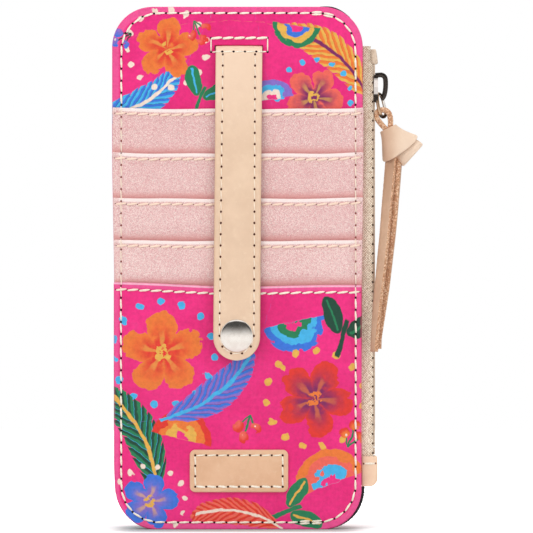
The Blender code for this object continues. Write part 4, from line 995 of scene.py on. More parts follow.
def make_front_canvas(finishes, dent_at):
    """The printed front with the strap's slot."""
    inset = CANVAS_EDGE
    left, right = -STRAP_HALF + SLOT_SHIFT[0], STRAP_HALF + SLOT_SHIFT[1]
    low, high = SLOT_HEIGHTS
    extra = round_rows(0.0, BODY_HEIGHT) + [low, high, low - 0.0004, high + 0.0004]
    extra += [0.0024, 0.0031, 0.1969, 0.1976, 0.1983]
    rows = rows_between(inset, BODY_HEIGHT - inset, 0.0013, extra)
    shares = side_places()
    for edge in (left, right):
        nearest = min(range(len(shares)), key=lambda index: abs(shares[index] * HALF_WIDTH - edge))
        shares[nearest] = edge / (HALF_WIDTH - inset)
    places = panel_places(rows, shares, inset)
    depth = np.full(places.shape[:2], FRONT_FACE)
    outer, inner = lifted(places, depth, PANEL_THICKNESS, -1.0, dent_at, 1.0)
    x, z = np.moveaxis((places[1:, 1:] + places[:-1, :-1]) / 2, 2, 0)
    keep = ~((x > left) & (x < right) & (z > low) & (z < high))
    return shell("front_canvas", outer, inner, finishes["front_canvas"], "body", keep, inset,
                 painted_border_highlight(places), replaces=["front_panel"], slot="printed_canvas")


def make_back_canvas(finishes, dent_at):
    """The printed back, drawn in along its seam and full over the zip pocket."""
    inset = CANVAS_EDGE
    rows = rows_between(inset, BODY_HEIGHT - inset, 0.0013, round_rows(0.0, BODY_HEIGHT))
    places = panel_places(rows, side_places(), inset)
    depth = depth_grid("back_panel", places, 1.0, (3, 3))
    outer, inner = lifted(places, depth, PANEL_THICKNESS, 1.0, dent_at, 5.0)
    return shell("back_canvas", outer, inner, finishes["back_canvas"], "body", None, inset,
                 painted_border_highlight(places), replaces=["back_panel"], slot="printed_canvas")


def make_linings(finishes):
    """The dark lining on both sides of the zip pocket."""
    for name, node, side in (("front_lining_cloth", "front_lining", -1.0),
                             ("back_lining_cloth", "back_lining", 1.0)):
        low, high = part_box(node)
        grid = []
        for z in rows_between(low.z, high.z, 0.004, round_rows(low.z, high.z, turn=13.5, count=7)):
            reach = half_width_at(z, LINING_INSET)
            line = [-reach + (min(reach, high.x) + reach) * column / 24 for column in range(25)]
            grid.append([(x + drawn_in(x, z), z) for x in line])
        grid = np.array(grid)
        outer, inner = lifted(grid, depth_grid(node, grid, side, (1, 1)), SHEET_THICKNESS, side, None, 9.0)
        shell(name, outer, inner, finishes["lining"], "body", None, 0.0001,
              replaces=[node], slot="lining_cloth")


def make_card_sheets(finishes, dent_at):
    """Four glitter sheets with folded mouths."""
    made = []
    for index, (bottom, mouth, foot) in enumerate(zip(BOTTOMS, MOUTHS, (*MOUTHS[1:], LOWER_MOUTH))):
        node = "card_pocket_%d" % (index + 1)
        near = [mouth - rise * MM for rise in (0.25, 0.6, 1.0, 1.5, 1.9, 2.3, 2.7, 3.2, 4.0)]
        rows = rows_between(bottom + SHEET_EDGE, mouth - SHEET_EDGE, ROW_STEP, near)
        across = [share * (HALF_WIDTH - SHEET_SHORT[share >= 0.0]) for share in side_places()]
        places = np.array([[(x + drawn_in(x, z), z - hem_sag(index, x) * smooth_step(z, bottom, mouth))
                            for x in across] for z in rows])
        outer, inner = lifted(places, depth_grid(node, places), SHEET_THICKNESS, -1.0, dent_at, 2.0 + index)
        tones = np.full(places.shape[:2], 0.5)
        for row, z in enumerate(rows):
            roll = math.exp(-((mouth - z) / 0.0011) ** 2)
            flare = 0.00022 * smooth_step(z, mouth - 0.004, mouth)
            outer[row, :, 1] -= flare + 0.00016 * roll
            inner[row, :, 1] += 0.00008 * roll - flare
            # Marks for the painted highlight over the mouth and the painted shade at the foot
            bright = 0.5 * (1.0 - smooth_step(mouth - z, 0.0009, 0.0016))
            painted_foot_shade = 0.5 * (1.0 - smooth_step(z - foot, -0.0010, 0.0048))
            inside = [0.35 + 0.65 * smooth_step(SEAM_RIGHT - abs(x), -0.0006, 0.0006)
                      for x in places[row, :, 0]]
            tones[row] = 0.5 + bright * np.array(inside) - painted_foot_shade
        made.append(shell("glitter_sheet_%d" % (index + 1), outer, inner, finishes["glitter"], "body", None,
                          SHEET_ROLL, tones, replaces=[node], slot="glitter_sheet"))
    return made


def make_lower_canvas(finishes, dent_at):
    """The printed lower pocket, its mouth folded over and sagging at the strap."""
    inset = CANVAS_EDGE
    near = [LOWER_MOUTH - rise * MM for rise in (0.35, 0.5, 0.65, 0.9, 1.3, 1.8, 2.3, 2.7, 3.1, 3.6, 4.4)]
    rows = rows_between(inset, LOWER_MOUTH - inset, ROW_STEP, round_rows(0.0, BODY_HEIGHT) + near)
    places = panel_places(rows, side_places(), inset)
    for row, z in enumerate(rows):
        sagging = smooth_step(z, LOWER_MOUTH - 0.045, LOWER_MOUTH)
        places[row, :, 1] = [z - lower_sag(x) * sagging for x in places[row, :, 0]]
    depth = depth_grid("lower_pocket", places, -1.0, (4, 2))
    outer, inner = lifted(places, depth, LOWER_THICKNESS, -1.0, dent_at, 7.0)
    tones = painted_border_highlight(places)
    for row, z in enumerate(rows):
        drop = LOWER_MOUTH - z
        outer[row, :, 1] -= 0.00022 * math.exp(-(drop / 0.0014) ** 2)
        # Marks for a painted highlight: lighter over the fold above the stitches, brighter still in a line
        # just under the mouth
        fold = 0.5 * (1.0 - smooth_step(drop, LOWER_HEM_DROP - 0.0007, LOWER_HEM_DROP - 0.0002))
        tones[row] = np.maximum(tones[row], 0.5 + fold) + smooth_step(0.00085 - drop, 0.0, 0.0003)
    return shell("lower_canvas", outer, inner, finishes["front_canvas"], "body", None, 0.0004,
                 tones, replaces=["lower_pocket"], slot="printed_canvas")


# The label's section in millimetres: inset from its edge, and depth behind its front face
LABEL_PROFILE = [(0.0, 0.45), (0.12, 0.18), (0.40, 0.02), (1.2, 0.0), (1.75, 0.04), (2.1, 0.16), (2.45, 0.04),
                 (3.2, 0.0), (5.0, -0.02)]


def make_label(finishes):
    """The bare leather label, its edge rounded and its border pressed in by the seam."""
    low, high = LABEL_LOW, LABEL_HIGH
    profile = [(0.15, high.y), (0.0, high.y - 0.0002)]
    profile += [(inset, low.y + depth * MM) for inset, depth in LABEL_PROFILE]
    rings = []
    for inset, y in profile:
        inset *= MM
        outline = rounded_corners(low.x + inset, high.x - inset, low.z + inset, high.z - inset,
                                  max(LABEL_CORNER - inset, 0.0003), 8)
        rings.append([(x, y, z) for x, z in outline])
    shares = [0.0, 1.0, 1.0, 0.6] + [0.0] * (len(rings) - 4)
    edges = np.repeat(np.array(shares, np.float32), len(rings[0]))
    return loft("leather_label", rings, finishes["label"], "body", edges=edges,
                replaces=["label_patch"], slot="label_leather")


# Strap


STRAP_FACE_THICKNESS = 0.0014
STRAP_BACK_THICKNESS = 0.0008
STRAP_FREE_TOP = 0.18195
SUEDE_TOP = 0.1828
SUEDE_DEPTH = 0.00115
BEND = ((0.0, FOLD_PIVOT.y, 0.1842), (0.0, FOLD_PIVOT.y, 0.1690))
# The sewn-in end of the strap, out through the slot, in millimetres: depth, height, thickness
STRAP_ENTRY = [(-1.40, 189.00, 1.0), (-1.40, 187.30, 1.0), (-1.35, 186.00, 1.0), (-1.10, 185.05, 1.0),
               (-0.55, 184.55, 1.0), (0.10, 184.40, 1.1), (0.85, 184.25, 1.2), (1.50, 183.85, 1.3),
               (2.00, 183.25, 1.4), (2.37, 182.55, 1.4)]
# Shares of the strap's half width, close together at its edge and over its seam
STRAP_COLUMNS = [-1.0, -0.965, -0.92, -0.86, -0.80, -0.755, -0.712, -0.67, -0.62, -0.55, -0.42, -0.22]


def strap_route():
    """Middle of the strap's outer layer as (depth, z, thickness), from behind the panel to the tip."""
    tree = tree_of(NODES["strap_outer"])
    heights = rows_between(STRAP_TIP + 0.0003, STRAP_FREE_TOP, 0.0013,
                           round_rows(STRAP_TIP, STRAP_FREE_TOP, STRAP_HALF, 6.0, 16)[:16])
    thickness = STRAP_FACE_THICKNESS
    depths = [-seen_y(tree, 0.0, min(max(z, STRAP_TIP + 0.0004), STRAP_FOLD - 0.0001)) - thickness / 2
              for z in heights]
    for _ in range(10):
        depths[1:-1] = [(before + 2 * here + after) / 4
                        for before, here, after in zip(depths, depths[1:], depths[2:])]
    route = [tuple(value * MM for value in station) for station in STRAP_ENTRY]
    return route + [(depth, z, thickness) for z, depth in sorted(zip(heights, depths), reverse=True)]


def strap_half_at(z, inset=0.0):
    """Half the strap's width at a height, round at its tip."""
    radius = STRAP_HALF - inset
    drop = radius - min(max(z - STRAP_TIP - inset, radius * 0.002), radius)
    return math.sqrt(radius * radius - drop * drop)


def strap_layer(name, route, finish, inset, dent_at, bulge, **options):
    """A layer of the strap along a route, with a slightly crowned face."""
    shares = STRAP_COLUMNS + [0.0] + [-share for share in reversed(STRAP_COLUMNS)]
    front, back = np.zeros((2, len(route), len(shares), 3))
    # Marks for a painted shade on the strap's rounded edges
    painted_edge_shade = [0.5 - 0.5 * smooth_step(abs(share), 0.88, 1.0) for share in shares]
    ways = headings([Vector((0.0, -depth, z)) for depth, z, _ in route])
    for row, ((depth, z, thickness), along) in enumerate(zip(route, ways)):
        normal = Vector((0.0, along.z, -along.y))
        half = strap_half_at(z, inset + bulge)
        for column, share in enumerate(shares):
            x = share * half + strap_drift(min(z, STRAP_FOLD))
            crown = 0.00012 * (1.0 - share * share) - 0.00010 * share ** 8
            dent = dent_at(x, z) if dent_at and z < STRAP_FOLD else 0.0
            centre = Vector((x, -depth, z))
            front[row, column] = centre + normal * (thickness / 2 + crown - dent)
            back[row, column] = centre - normal * (thickness / 2)
    return shell(name, front, back, finish, "strap", None, bulge, np.tile(painted_edge_shade, (len(route), 1)), bend=BEND,
                 **options)


def make_strap(finishes):
    """The strap's face, from behind the panel through the slot and down to the snap, and its suede back."""
    dent_at = dent_field([(strap_seam(), STRAP_PITCH)])
    route = strap_route()
    face = strap_layer("strap_face", route, finishes["strap"], 0.0, dent_at, 0.00030,
                       replaces=["strap_outer", "strap_anchor"], slot="strap_leather")
    lower = [(depth - SUEDE_DEPTH, z, STRAP_BACK_THICKNESS) for depth, z, _ in route if z < SUEDE_TOP]
    strap_layer("strap_suede_back", lower, finishes["suede"], 0.0002, None, 0.00015,
                replaces=["strap_lining"], slot="split_leather")
    return face


# Zip


TAPE_SEAM_INSET = 0.00016
TAPE_FLATS = [0.004, HALF_WIDTH - 0.001, HALF_WIDTH + 0.001]
TAB_CORNER = 0.0034
TAB_WIDER = 0.0004


def tape_edge_at(z):
    """How far out the tape's fold stands: it draws in beside the top stop and is a little wavy."""
    drawn = 0.00095 * smooth_step(z, TAPE_HIGH.z - 0.0078, TAPE_HIGH.z - 0.0045)
    return TAPE_HIGH.x - drawn + 0.00012 * noise.noise(Vector((z * 120.0, 0.0, 3.0)))


def folded(flats, reach, face, side, thickness, outer_radius, inner_radius):
    """Outer and inner runs of (x, y): flat, then a quarter turn in. side is -1 for the front."""
    runs = []
    for depth, radius in ((0.0, outer_radius), (thickness, inner_radius)):
        run = [(x, face - side * depth) for x in flats]
        for step in range(6):
            angle = math.radians(18.0 * step)
            run.append((reach - depth - radius + radius * math.sin(angle),
                        face - side * (depth + radius * (1.0 - math.cos(angle)))))
        runs.append(run)
    return runs


def make_tapes(finishes):
    """Both tapes, turned round the pocket's side. Gives the front one."""
    made = []
    for name, node, side in (("front_tape_woven", "front_zip_tape", -1.0),
                             ("back_tape_woven", "back_zip_tape", 1.0)):
        low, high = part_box(node)
        face, edge = (low.y, high.y) if side < 0 else (high.y, low.y)
        flats = [low.x, low.x + TAPE_FLATS[0], *TAPE_FLATS[1:]]
        rings = []
        for z in rows_between(low.z, high.z, 0.0016):
            reach = tape_edge_at(z)
            outer, inner = folded(flats, reach, face, side, SHEET_THICKNESS, 0.0009, 0.0004)
            outer += [(reach, edge), (reach - SHEET_THICKNESS, edge)]
            rings.append([(x, y, z) for x, y in outer + inner[::-1]])
        made.append(loft(name, rings, finishes["tape"], "body", replaces=[node], slot="zip_tape"))
    return made[0]


def make_end_tab(finishes):
    """The leather tab folded round the zip's lower end."""
    low, high = TAB_LOW, TAB_HIGH
    rows = round_rows(low.z, high.z, TAB_CORNER, 9.0, 11)[:11]
    rings = []
    for z in rows_between(low.z + 0.0002, high.z - 0.0002, 0.0009, rows):
        drop = TAB_CORNER - min(max(z - low.z, 0.0), TAB_CORNER)
        pull = TAB_CORNER - math.sqrt(TAB_CORNER * TAB_CORNER - drop * drop)
        pull += 0.0004 * smooth_step(z, high.z - 0.0008, high.z) ** 2
        reach = high.x + TAB_WIDER - pull
        swell = 0.00012 * math.sin(math.pi * (z - low.z) / (high.z - low.z))
        outer, inner = [], []
        for face, side in ((low.y - swell, -1.0), (high.y + swell, 1.0)):
            runs = folded([HALF_WIDTH - TAB_WIDER], reach, face, side, 0.0011, 0.0011, 0.0003)
            outer += runs[0][::-int(side)]
            inner += runs[1][::-int(side)]
        rings.append([(x, y, z) for x, y in outer + inner[::-1]])
    return loft("folded_end_tab", rings, finishes["tab"], "body", replaces=["zip_end_tab"],
                slot="label_leather")


# Seams


class Seam:
    """Stitches and needle holes that are gathered into one thread piece and one piece of holes."""

    def __init__(self, name):
        self.name = name
        self.thread = ([], [])
        self.holes = ([], [])

    def tube(self, points, normal, width, height, sides=8):
        """One stitch: a flat oval, twisted thread with its ends sunk in."""
        corners, faces = self.thread
        faces += skin(len(corners), len(points), sides)
        for index, (point, along) in enumerate(zip(points, headings(points))):
            share = index / (len(points) - 1)
            side = along.cross(normal).normalized()
            taper = min(1.0, 0.45 + 2.4 * min(share, 1.0 - share))
            for step in range(sides):
                angle = math.tau * step / sides
                size = taper * (1.0 + 0.10 * math.sin(2.0 * angle + share * 14.0)) / 2
                corners.append(point + side * (math.cos(angle) * width * size)
                               + normal * (math.sin(angle) * height * size))

    def hole(self, tree, x, z, side, along, length, width, steps=12):
        """One needle hole: a small disc of painted shade that follows the surface."""
        corners, faces = self.holes
        rim = range(len(corners) + 1, len(corners) + 1 + steps)
        faces += [(rim[0] - 1, rim[step], rim[(step + 1) % steps]) for step in range(steps)]
        faces.append(tuple(reversed(rim)))
        corners.append(Vector((x, seen_y(tree, x, z, side) + side * 0.00008, z)))
        beside = along.cross(Vector((0.0, side, 0.0))).normalized()
        for step in range(steps):
            angle = math.tau * step / steps
            spot = Vector((x, 0.0, z)) + (along * (math.cos(angle) * length / 2)
                                          + beside * (math.sin(angle) * width / 2))
            spot.y = seen_y(tree, spot.x, spot.z, side) + side * 0.00002
            corners.append(spot)

    def run(self, route, pitch, tree, side=-1.0, width=0.00064, height=0.00042, gap=0.00048, slant=0.00012,
            hole=HOLE, double=(), slim=1.0):
        """Stitches along a route of (x, z) on a tree's surface. slim thins them on the sheets."""
        spots = [Vector((x, 0.0, z)) for x, z in spaced(route, pitch)]
        normal = Vector((0.0, side, 0.0))
        for index, (first, last) in enumerate(zip(spots, spots[1:])):
            along = (last - first).normalized()
            room = (last - first).length - 2 * gap
            beside = along.cross(normal)
            scale = slim if LOWER_MOUTH - 0.0035 < (first.z + last.z) / 2 < MOUTHS[0] else 1.0
            for shift in (-0.00042, 0.00042) if index in double else (0.0,):
                points = []
                for step in range(11):
                    share = step / 10
                    lean = shift + slant * (1.0 - 2.0 * share)
                    spot = first + along * (gap + room * share) + beside * lean
                    lift = height * (0.05 + 0.50 * math.sin(math.pi * share) ** 0.5)
                    spot.y = seen_y(tree, spot.x, spot.z, side) + side * lift
                    points.append(spot)
                self.tube(points, normal, width * scale, height * scale)
        for spot, along in zip(spots, headings(spots)):
            scale = math.sqrt(slim) if LOWER_MOUTH - 0.0025 < spot.z < MOUTHS[0] else 1.0
            self.hole(tree, spot.x, spot.z, side, along, hole[0] * scale, hole[1] * scale)

    def finish(self, thread, hole, body="body", bend=None):
        """Makes both pieces."""
        piece(self.name + "_thread", *self.thread, thread, body, bend=bend)
        piece(self.name + "_needle_holes", *self.holes, hole, body, bend=bend)


def make_seams(finishes, front, back, strap, label, tab, tape):
    """All the stitching, laid on the finished surfaces."""
    thread, hole, brown = finishes["thread"], finishes["hole"], finishes["hole_brown"]
    front_tree, tab_tree = tree_of(*front), tree_of(tab)

    seam = Seam("perimeter")
    seam.run(PERIMETER, SEAM_PITCH, front_tree, width=0.00078, gap=0.00042, double=(5, 6, 51, 52), slim=0.72)
    seam.finish(thread, hole)
    seam = Seam("back_perimeter")
    seam.run(PERIMETER, SEAM_PITCH, tree_of(back), 1.0)
    seam.finish(thread, brown)

    seam = Seam("card_hem")
    for hem in HEMS:
        seam.run(hem, HEM_PITCH, front_tree, width=0.00082, height=0.00046, gap=0.00010, slant=0.00030,
                 hole=(0.0005, 0.0004))
    seam.finish(finishes["hem_thread"], brown)
    seam = Seam("lower_hem")
    seam.run(LOWER_HEM, LOWER_HEM_PITCH, front_tree, width=0.00084, height=0.00050, gap=0.00016,
             slant=0.00028, hole=(0.00066, 0.00056))
    seam.finish(thread, brown)

    seam = Seam("strap_edge")
    seam.run(strap_seam(), STRAP_PITCH, tree_of(strap), width=0.00048, height=0.00030, gap=0.00060,
             hole=(0.00092, 0.00082))
    seam.finish(finishes["strap_thread"], finishes["hole_dark"], "strap", BEND)

    seam = Seam("slot")
    left, right, low, high = SLOT_SEAM
    both = tree_of(strap, front[0])
    seam.run([(left, high), (right, high)], 0.0043, both, width=0.00100, height=0.00060, gap=0.00010,
             slant=0.00022, hole=(0.0006, 0.0005))
    for x in (right, left):
        seam.run([(x, high), (x, low)], 0.0106, both, width=0.00052, gap=0.00015, slant=0.0)
    seam.run([(left, low), (right, low)], 0.0046, both, width=0.00056)
    seam.finish(thread, hole)

    seam = Seam("label_border")
    inset = LABEL_SEAM_INSET
    left, right = LABEL_LOW.x + inset, LABEL_HIGH.x - inset
    low, high = LABEL_LOW.z + inset, LABEL_HIGH.z - inset
    border = [(left, low), (right, low), (right, high), (left, high), (left, low)]
    label_tree = tree_of(label)
    for start, end, width, slant in zip(border, border[1:], (0.00090, 0.00060, 0.00060, 0.00060),
                                        (-0.00020, 0.00014, 0.00014, 0.00014)):
        seam.run([start, end], LABEL_PITCH, label_tree, width=width, height=0.00040, gap=0.00040, slant=slant,
                 hole=(0.00092, 0.00084))
    seam.finish(thread, finishes["hole_dark"])

    seam = Seam("end_tab")
    height = TAB_HIGH.z - 0.0030
    stitch = [(HALF_WIDTH + 0.0003, height), (TAB_HIGH.x - 0.0004, height + 0.0001)]
    for side in (-1.0, 1.0):
        seam.run(stitch, 0.0060, tab_tree, side, width=0.00085, gap=0.00035, slant=0.0,
                 hole=(0.0007, 0.0007))
    seam.finish(thread, brown)

    seam = Seam("tape_edge")
    heights = rows_between(TAB_HIGH.z + 0.001, TAPE_HIGH.z - 0.014, 0.004)
    seam.run([(tape_edge_at(z) - TAPE_SEAM_INSET, z) for z in heights], 0.00365, tree_of(tape), width=0.00030,
             height=0.00010, slant=0.00004, gap=0.0007, hole=(0.00084, 0.00072))
    seam.finish(finishes["tape_thread"], finishes["hole_tape"])


# Metal and moulded parts


# Nodes that keep their frame shapes, and their finishes
HARD_PARTS = {"snap_socket": "nickel", "snap_stud": "nickel", "snap_post": "nickel", "slider_body": "slider",
              "front_zip_teeth": "resin", "back_zip_teeth": "resin", "zip_bottom_stop": "resin"}
# The top stop's section: share of its half height, share of its size
STOP_PROFILE = [(-1.0, 0.55), (-0.97, 0.78), (-0.90, 0.93), (-0.78, 1.0), (-0.3, 1.0), (0.3, 0.97),
                (0.78, 0.92), (0.90, 0.84), (0.97, 0.68), (1.0, 0.45)]
# The snap cap's rolled rim: share of its radius, share of its dome's height
CAP_DOME = 0.0011
CAP_RIM = [(0.90, 0.94), (0.935, 1.08), (0.97, 1.25), (1.0, 1.44), (0.997, 1.60)]
RIVET_RADIUS = 0.0010


def finish_hard_parts(finishes):
    """Softer edges and finishes for the frame's rigid nodes."""
    for node, finish in HARD_PARTS.items():
        obj = NODES[node]
        obj.data.materials.clear()
        obj.data.materials.append(finishes[finish])
        bevel = obj.modifiers.new("soft_edges", "BEVEL")
        bevel.width = 0.00012
        bevel.segments = 3
        bevel.limit_method = "ANGLE"
        bevel.angle_limit = math.radians(35.0)


def oval_ring(centre, across_way, half_across, half_deep, steps=40, power=2.4):
    """A rounded ring of points about a centre, in the plane of a direction and Y."""
    points = []
    for step in range(steps):
        angle = math.tau * step / steps
        cosine, sine = math.cos(angle), math.sin(angle)
        scale = (abs(cosine) ** power + abs(sine) ** power) ** (-1.0 / power)
        points.append(centre + across_way * (half_across * cosine * scale)
                      + Y_WAY * (half_deep * sine * scale))
    return points


def tilted(degrees):
    """The directions across and outward of a piece that is tilted in the X-Z plane."""
    tilt = math.radians(degrees)
    return Vector((math.cos(tilt), 0.0, math.sin(tilt))), Vector((math.sin(tilt), 0.0, -math.cos(tilt)))


def make_top_stop(finishes):
    """The moulded stop at the head of the chain: a small rounded block that leans a little."""
    low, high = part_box("zip_top_stop")
    half = (high - low) / 2 * 1.06
    centre = (high + low) / 2 - Vector((0.0003, 0.0, 0.0))
    across_way, down = tilted(7.0)
    rings = [oval_ring(centre - down * (half.z * share), across_way, half.x * size, half.y * size, 24, 4.0)
             for share, size in STOP_PROFILE]
    loft("moulded_top_stop", rings, finishes["resin"], "body", replaces=["zip_top_stop"], slot="zip_resin")


def make_snap_cap(finishes):
    """The snap's domed cap with its rolled rim and its rivet."""
    radius = (CAP_HIGH.x - CAP_LOW.x) / 2 * 1.05
    centre_z = (CAP_HIGH.z + CAP_LOW.z) / 2 + 0.0003
    centre_x = strap_drift(centre_z)
    top, face = CAP_LOW.y, STRAP_LOW.y
    profile = [(0.00002, top)]
    profile += [(radius * 0.87 * step / 16, top + CAP_DOME * 0.84 * (step / 16) ** 2)
                for step in range(1, 17)]
    profile += [(radius * share, top + CAP_DOME * rise) for share, rise in CAP_RIM]
    profile += [(radius * 0.93, face + 0.00005), (radius * 0.3, face + 0.00005),
                (RIVET_RADIUS, face + 0.0002), (RIVET_RADIUS, CAP_HIGH.y)]
    rings = [[(x, y, z) for x, z in arc(centre_x, centre_z, reach, 0.0, 360.0, 64)[:64]]
             for reach, y in profile]
    loft("domed_snap_cap", rings, finishes["nickel"], "strap", replaces=["snap_cap"], slot="nickel")


# Pull


TAIL_RISE = 0.007
# The knot's wrap, from the end of the link: its narrow and wide ends, how much lower its near rim is,
# and its tilt in degrees at its narrow end, with what is added towards its wide end
KNOT_NARROW = Vector((0.0011, 0.0, -0.0043))
KNOT_WIDE = Vector((0.0057, 0.0, -0.0120))
KNOT_RIM_DROP = 0.0016
KNOT_TILT = (25.6, 10.9)
# Its section: share of its length, half width and half depth in millimetres
KNOT_PROFILE = [(0.02, 2.4, 1.6), (0.00, 3.0, 2.1), (0.01, 3.35, 2.5), (0.05, 3.55, 2.7), (0.12, 3.7, 2.8),
                (0.22, 4.05, 3.0), (0.35, 4.6, 3.3), (0.50, 5.35, 3.65), (0.65, 6.2, 4.0), (0.80, 7.05, 4.35),
                (0.92, 7.7, 4.6), (0.985, 8.1, 4.75), (1.01, 8.15, 4.75), (1.025, 8.0, 4.6), (1.01, 7.5, 4.2),
                (0.90, 6.9, 3.7), (0.80, 6.2, 3.2)]
# The turn below it: step along it, half width and half depth in millimetres
TURN_CENTRE = Vector((0.0092, 0.0, -0.0134))
TURN_PROFILE = [(-3.0, 4.6, 2.6), (-2.0, 5.2, 3.2), (0.0, 5.7, 3.6), (1.5, 5.75, 3.7), (1.95, 5.65, 3.65),
                (2.2, 5.3, 3.3), (2.25, 4.6, 2.7)]
# The loop's route from the end of the link, in millimetres
LOOP_PLACES = [(0.7, -5.4), (0.2, -4.6), (-0.9, -3.5), (-2.5, -1.6), (-3.5, 0.2), (-3.1, 2.1), (-1.3, 2.75),
               (0.6, 2.45), (1.75, 1.0), (2.1, -1.2), (2.1, -3.0), (1.9, -5.0)]
LACE_WIDTH, LACE_THICKNESS = 0.0036, 0.0020
WIRE_RADIUS = 0.00068
LINK_TURN = 30.0
LINK_SQUARENESS = 2.6
BRIDGE_WALL, BRIDGE_DEPTH = 0.0019, 0.0022


def make_strip(name, node, stations, finish, finishes):
    """A strip of lace with cut sides and ends. Stations are (centre, across, through, width, thickness)."""
    rings = []
    for centre, across_way, through, width, thickness in stations:
        half, deep = width / 2, thickness / 2
        edge = min(0.00025, deep * 0.4)
        flat = [-half + edge, -half / 3, half / 3, half - edge]
        outline = [(u, -deep) for u in flat] + [(half, -deep + edge), (half, deep - edge)]
        outline += [(-u, -v) for u, v in outline]
        rings.append([centre + across_way * u + through * v for u, v in outline])
    obj = loft(name, rings, finishes[finish], "pull", replaces=[node], slot="lace_leather",
               extra=finishes["lace_cut"])
    cut_sides = ([3, 4], [4, 5], [5, 6], [9, 10], [10, 11], [0, 11])
    for face in obj.data.polygons:
        steps = sorted({index % 12 for index in face.vertices})
        if len(steps) > 2 or steps in cut_sides:
            face.material_index = 1


def tail_slices(node):
    """The frame's strip from its foot to its head: (x, y, z, turn of its wide way, width, thickness)."""
    points = np.array([tuple(vertex.co) for vertex in NODES[node].data.vertices])
    slices = []
    for z in sorted(set(np.round(points[:, 2], 6))):
        ring = np.unique(np.round(points[np.abs(points[:, 2] - z) < 2e-6], 6), axis=0)
        centre = ring.mean(0)
        spread = ring[:, :2] - centre[:2]
        _, ways = np.linalg.eigh(spread.T @ spread)
        wide = ways[:, 1] * (1.0 if ways[0, 1] > 0 else -1.0)
        half, deep = np.abs(spread @ wide).max(), np.abs(spread @ ways[:, 0]).max()
        slices.append((*centre, math.atan2(wide[1], wide[0]), half * 2, deep * 2))
    return np.array(slices)


def make_tail(name, node, finishes, seed, shift, widen, deepen):
    """A tail of the lace: a strip along the frame's own, moved and widened a little, up into the knot."""
    slices = tail_slices(node)
    levels = slices[:, 2]
    top, bottom = levels[-1], levels[0]
    lean = (slices[-1, :2] - slices[-4, :2]) / (levels[-1] - levels[-4])
    stations = []
    for z in rows_between(bottom, top + TAIL_RISE, 0.0010)[::-1]:
        share = (top - min(z, top)) / (top - bottom)
        x, y, turn, width, deep = (np.interp(z, levels, slices[:, column]) for column in (0, 1, 3, 4, 5))
        over = max(z - top, 0.0)
        x += lean[0] * over + shift[0] + (shift[1] - shift[0]) * share
        x += 0.00012 * noise.noise(Vector((seed, z * 60.0, 1.0)))
        nick = noise.noise(Vector((seed, z * 700.0, 4.0)))
        wide = width * (widen[0] + (widen[1] - widen[0]) * share)
        stations.append((Vector((x, y + lean[1] * over, z)), Vector((math.cos(turn), math.sin(turn), 0.0)),
                         Vector((-math.sin(turn), math.cos(turn), 0.0)), wide * (1.0 + 0.04 * nick),
                         deep * deepen))
    make_strip(name, node, stations, "tail", finishes)


def make_knot(finishes):
    """The flared wrap of the knot, its near rim lower than its far one, and the turn that shows below it."""
    narrow, wide = LINK_END + KNOT_NARROW, LINK_END + KNOT_WIDE
    along = (wide - narrow).normalized()
    rings = []
    for share, half_across, half_deep in KNOT_PROFILE:
        across_way, _ = tilted(KNOT_TILT[0] + KNOT_TILT[1] * min(share, 1.0))
        centre = narrow.lerp(wide, share)
        ring = oval_ring(centre, across_way, half_across * MM, half_deep * MM)
        rings.append([point - along * (KNOT_RIM_DROP * share ** 2 * (point.y - centre.y) / (half_deep * MM))
                      for point in ring])
    loft("lace_knot", rings, finishes["lace"], "pull", replaces=["pull_knot"], slot="lace_leather")
    across_way, outward = tilted(48.0)
    centre = LINK_END + TURN_CENTRE
    rings = [oval_ring(centre + outward * step * MM, across_way, half_across * MM, half_deep * MM)
             for step, half_across, half_deep in TURN_PROFILE]
    loft("lace_second_turn", rings, finishes["lace"], "pull", replaces=["pull_wrap"], slot="lace_leather")


def eased_route(points):
    """A given route with its corners rounded off."""
    route = [Vector(point) for point in points]
    for _ in range(3):
        finer = [route[0]]
        for before, after in zip(route, route[1:]):
            finer += [before.lerp(after, 0.25), before.lerp(after, 0.75)]
        route = finer + [route[-1]]
    return route


def make_loop(finishes):
    """The lace's loop over the link: a rough strip seen on its cut side."""
    route = eased_route([LINK_END + Vector((x * MM, 0.0, z * MM)) for x, z in LOOP_PLACES])
    stations = []
    for index, (point, along) in enumerate(zip(route, headings(route))):
        nick = 1.0 + 0.07 * noise.noise(Vector((index * 0.9, 5.0, 2.0)))
        stations.append((point, Y_WAY, along.cross(Y_WAY).normalized(), LACE_WIDTH, LACE_THICKNESS * nick))
    make_strip("lace_loop", "pull_loop", stations, "lace", finishes)


def make_link(finishes):
    """The metal ring between the bridge and the lace, turned a little about its own length."""
    down = (LINK_END - LINK_PIVOT).normalized()
    turn = math.radians(LINK_TURN)
    across_way = Y_WAY * math.cos(turn) + down.cross(Y_WAY) * math.sin(turn)
    normal = down.cross(across_way)
    half_length = (LINK_END - LINK_PIVOT).length / 2 + 0.0002
    centre = (LINK_END + LINK_PIVOT) / 2 - down * 0.0002 - Vector((0.0006, 0.0, 0.0))
    rings = []
    for step in range(64):
        angle = math.tau * step / 64
        cosine, sine = math.cos(angle), math.sin(angle)
        reach = (abs(cosine) ** LINK_SQUARENESS + abs(sine) ** LINK_SQUARENESS) ** (-1.0 / LINK_SQUARENESS)
        spread = 0.0024 + 0.0003 * cosine
        out = (down * (cosine / half_length) + across_way * (sine / spread)).normalized()
        point = centre + down * (half_length * cosine * reach) + across_way * (spread * sine * reach)
        rings.append([point + out * (WIRE_RADIUS * math.cos(math.tau * side / 14))
                      + normal * (WIRE_RADIUS * math.sin(math.tau * side / 14)) for side in range(14)])
    loft("link_ring", rings, finishes["link"], "link", closed=True, replaces=["pull_link"], slot="nickel")


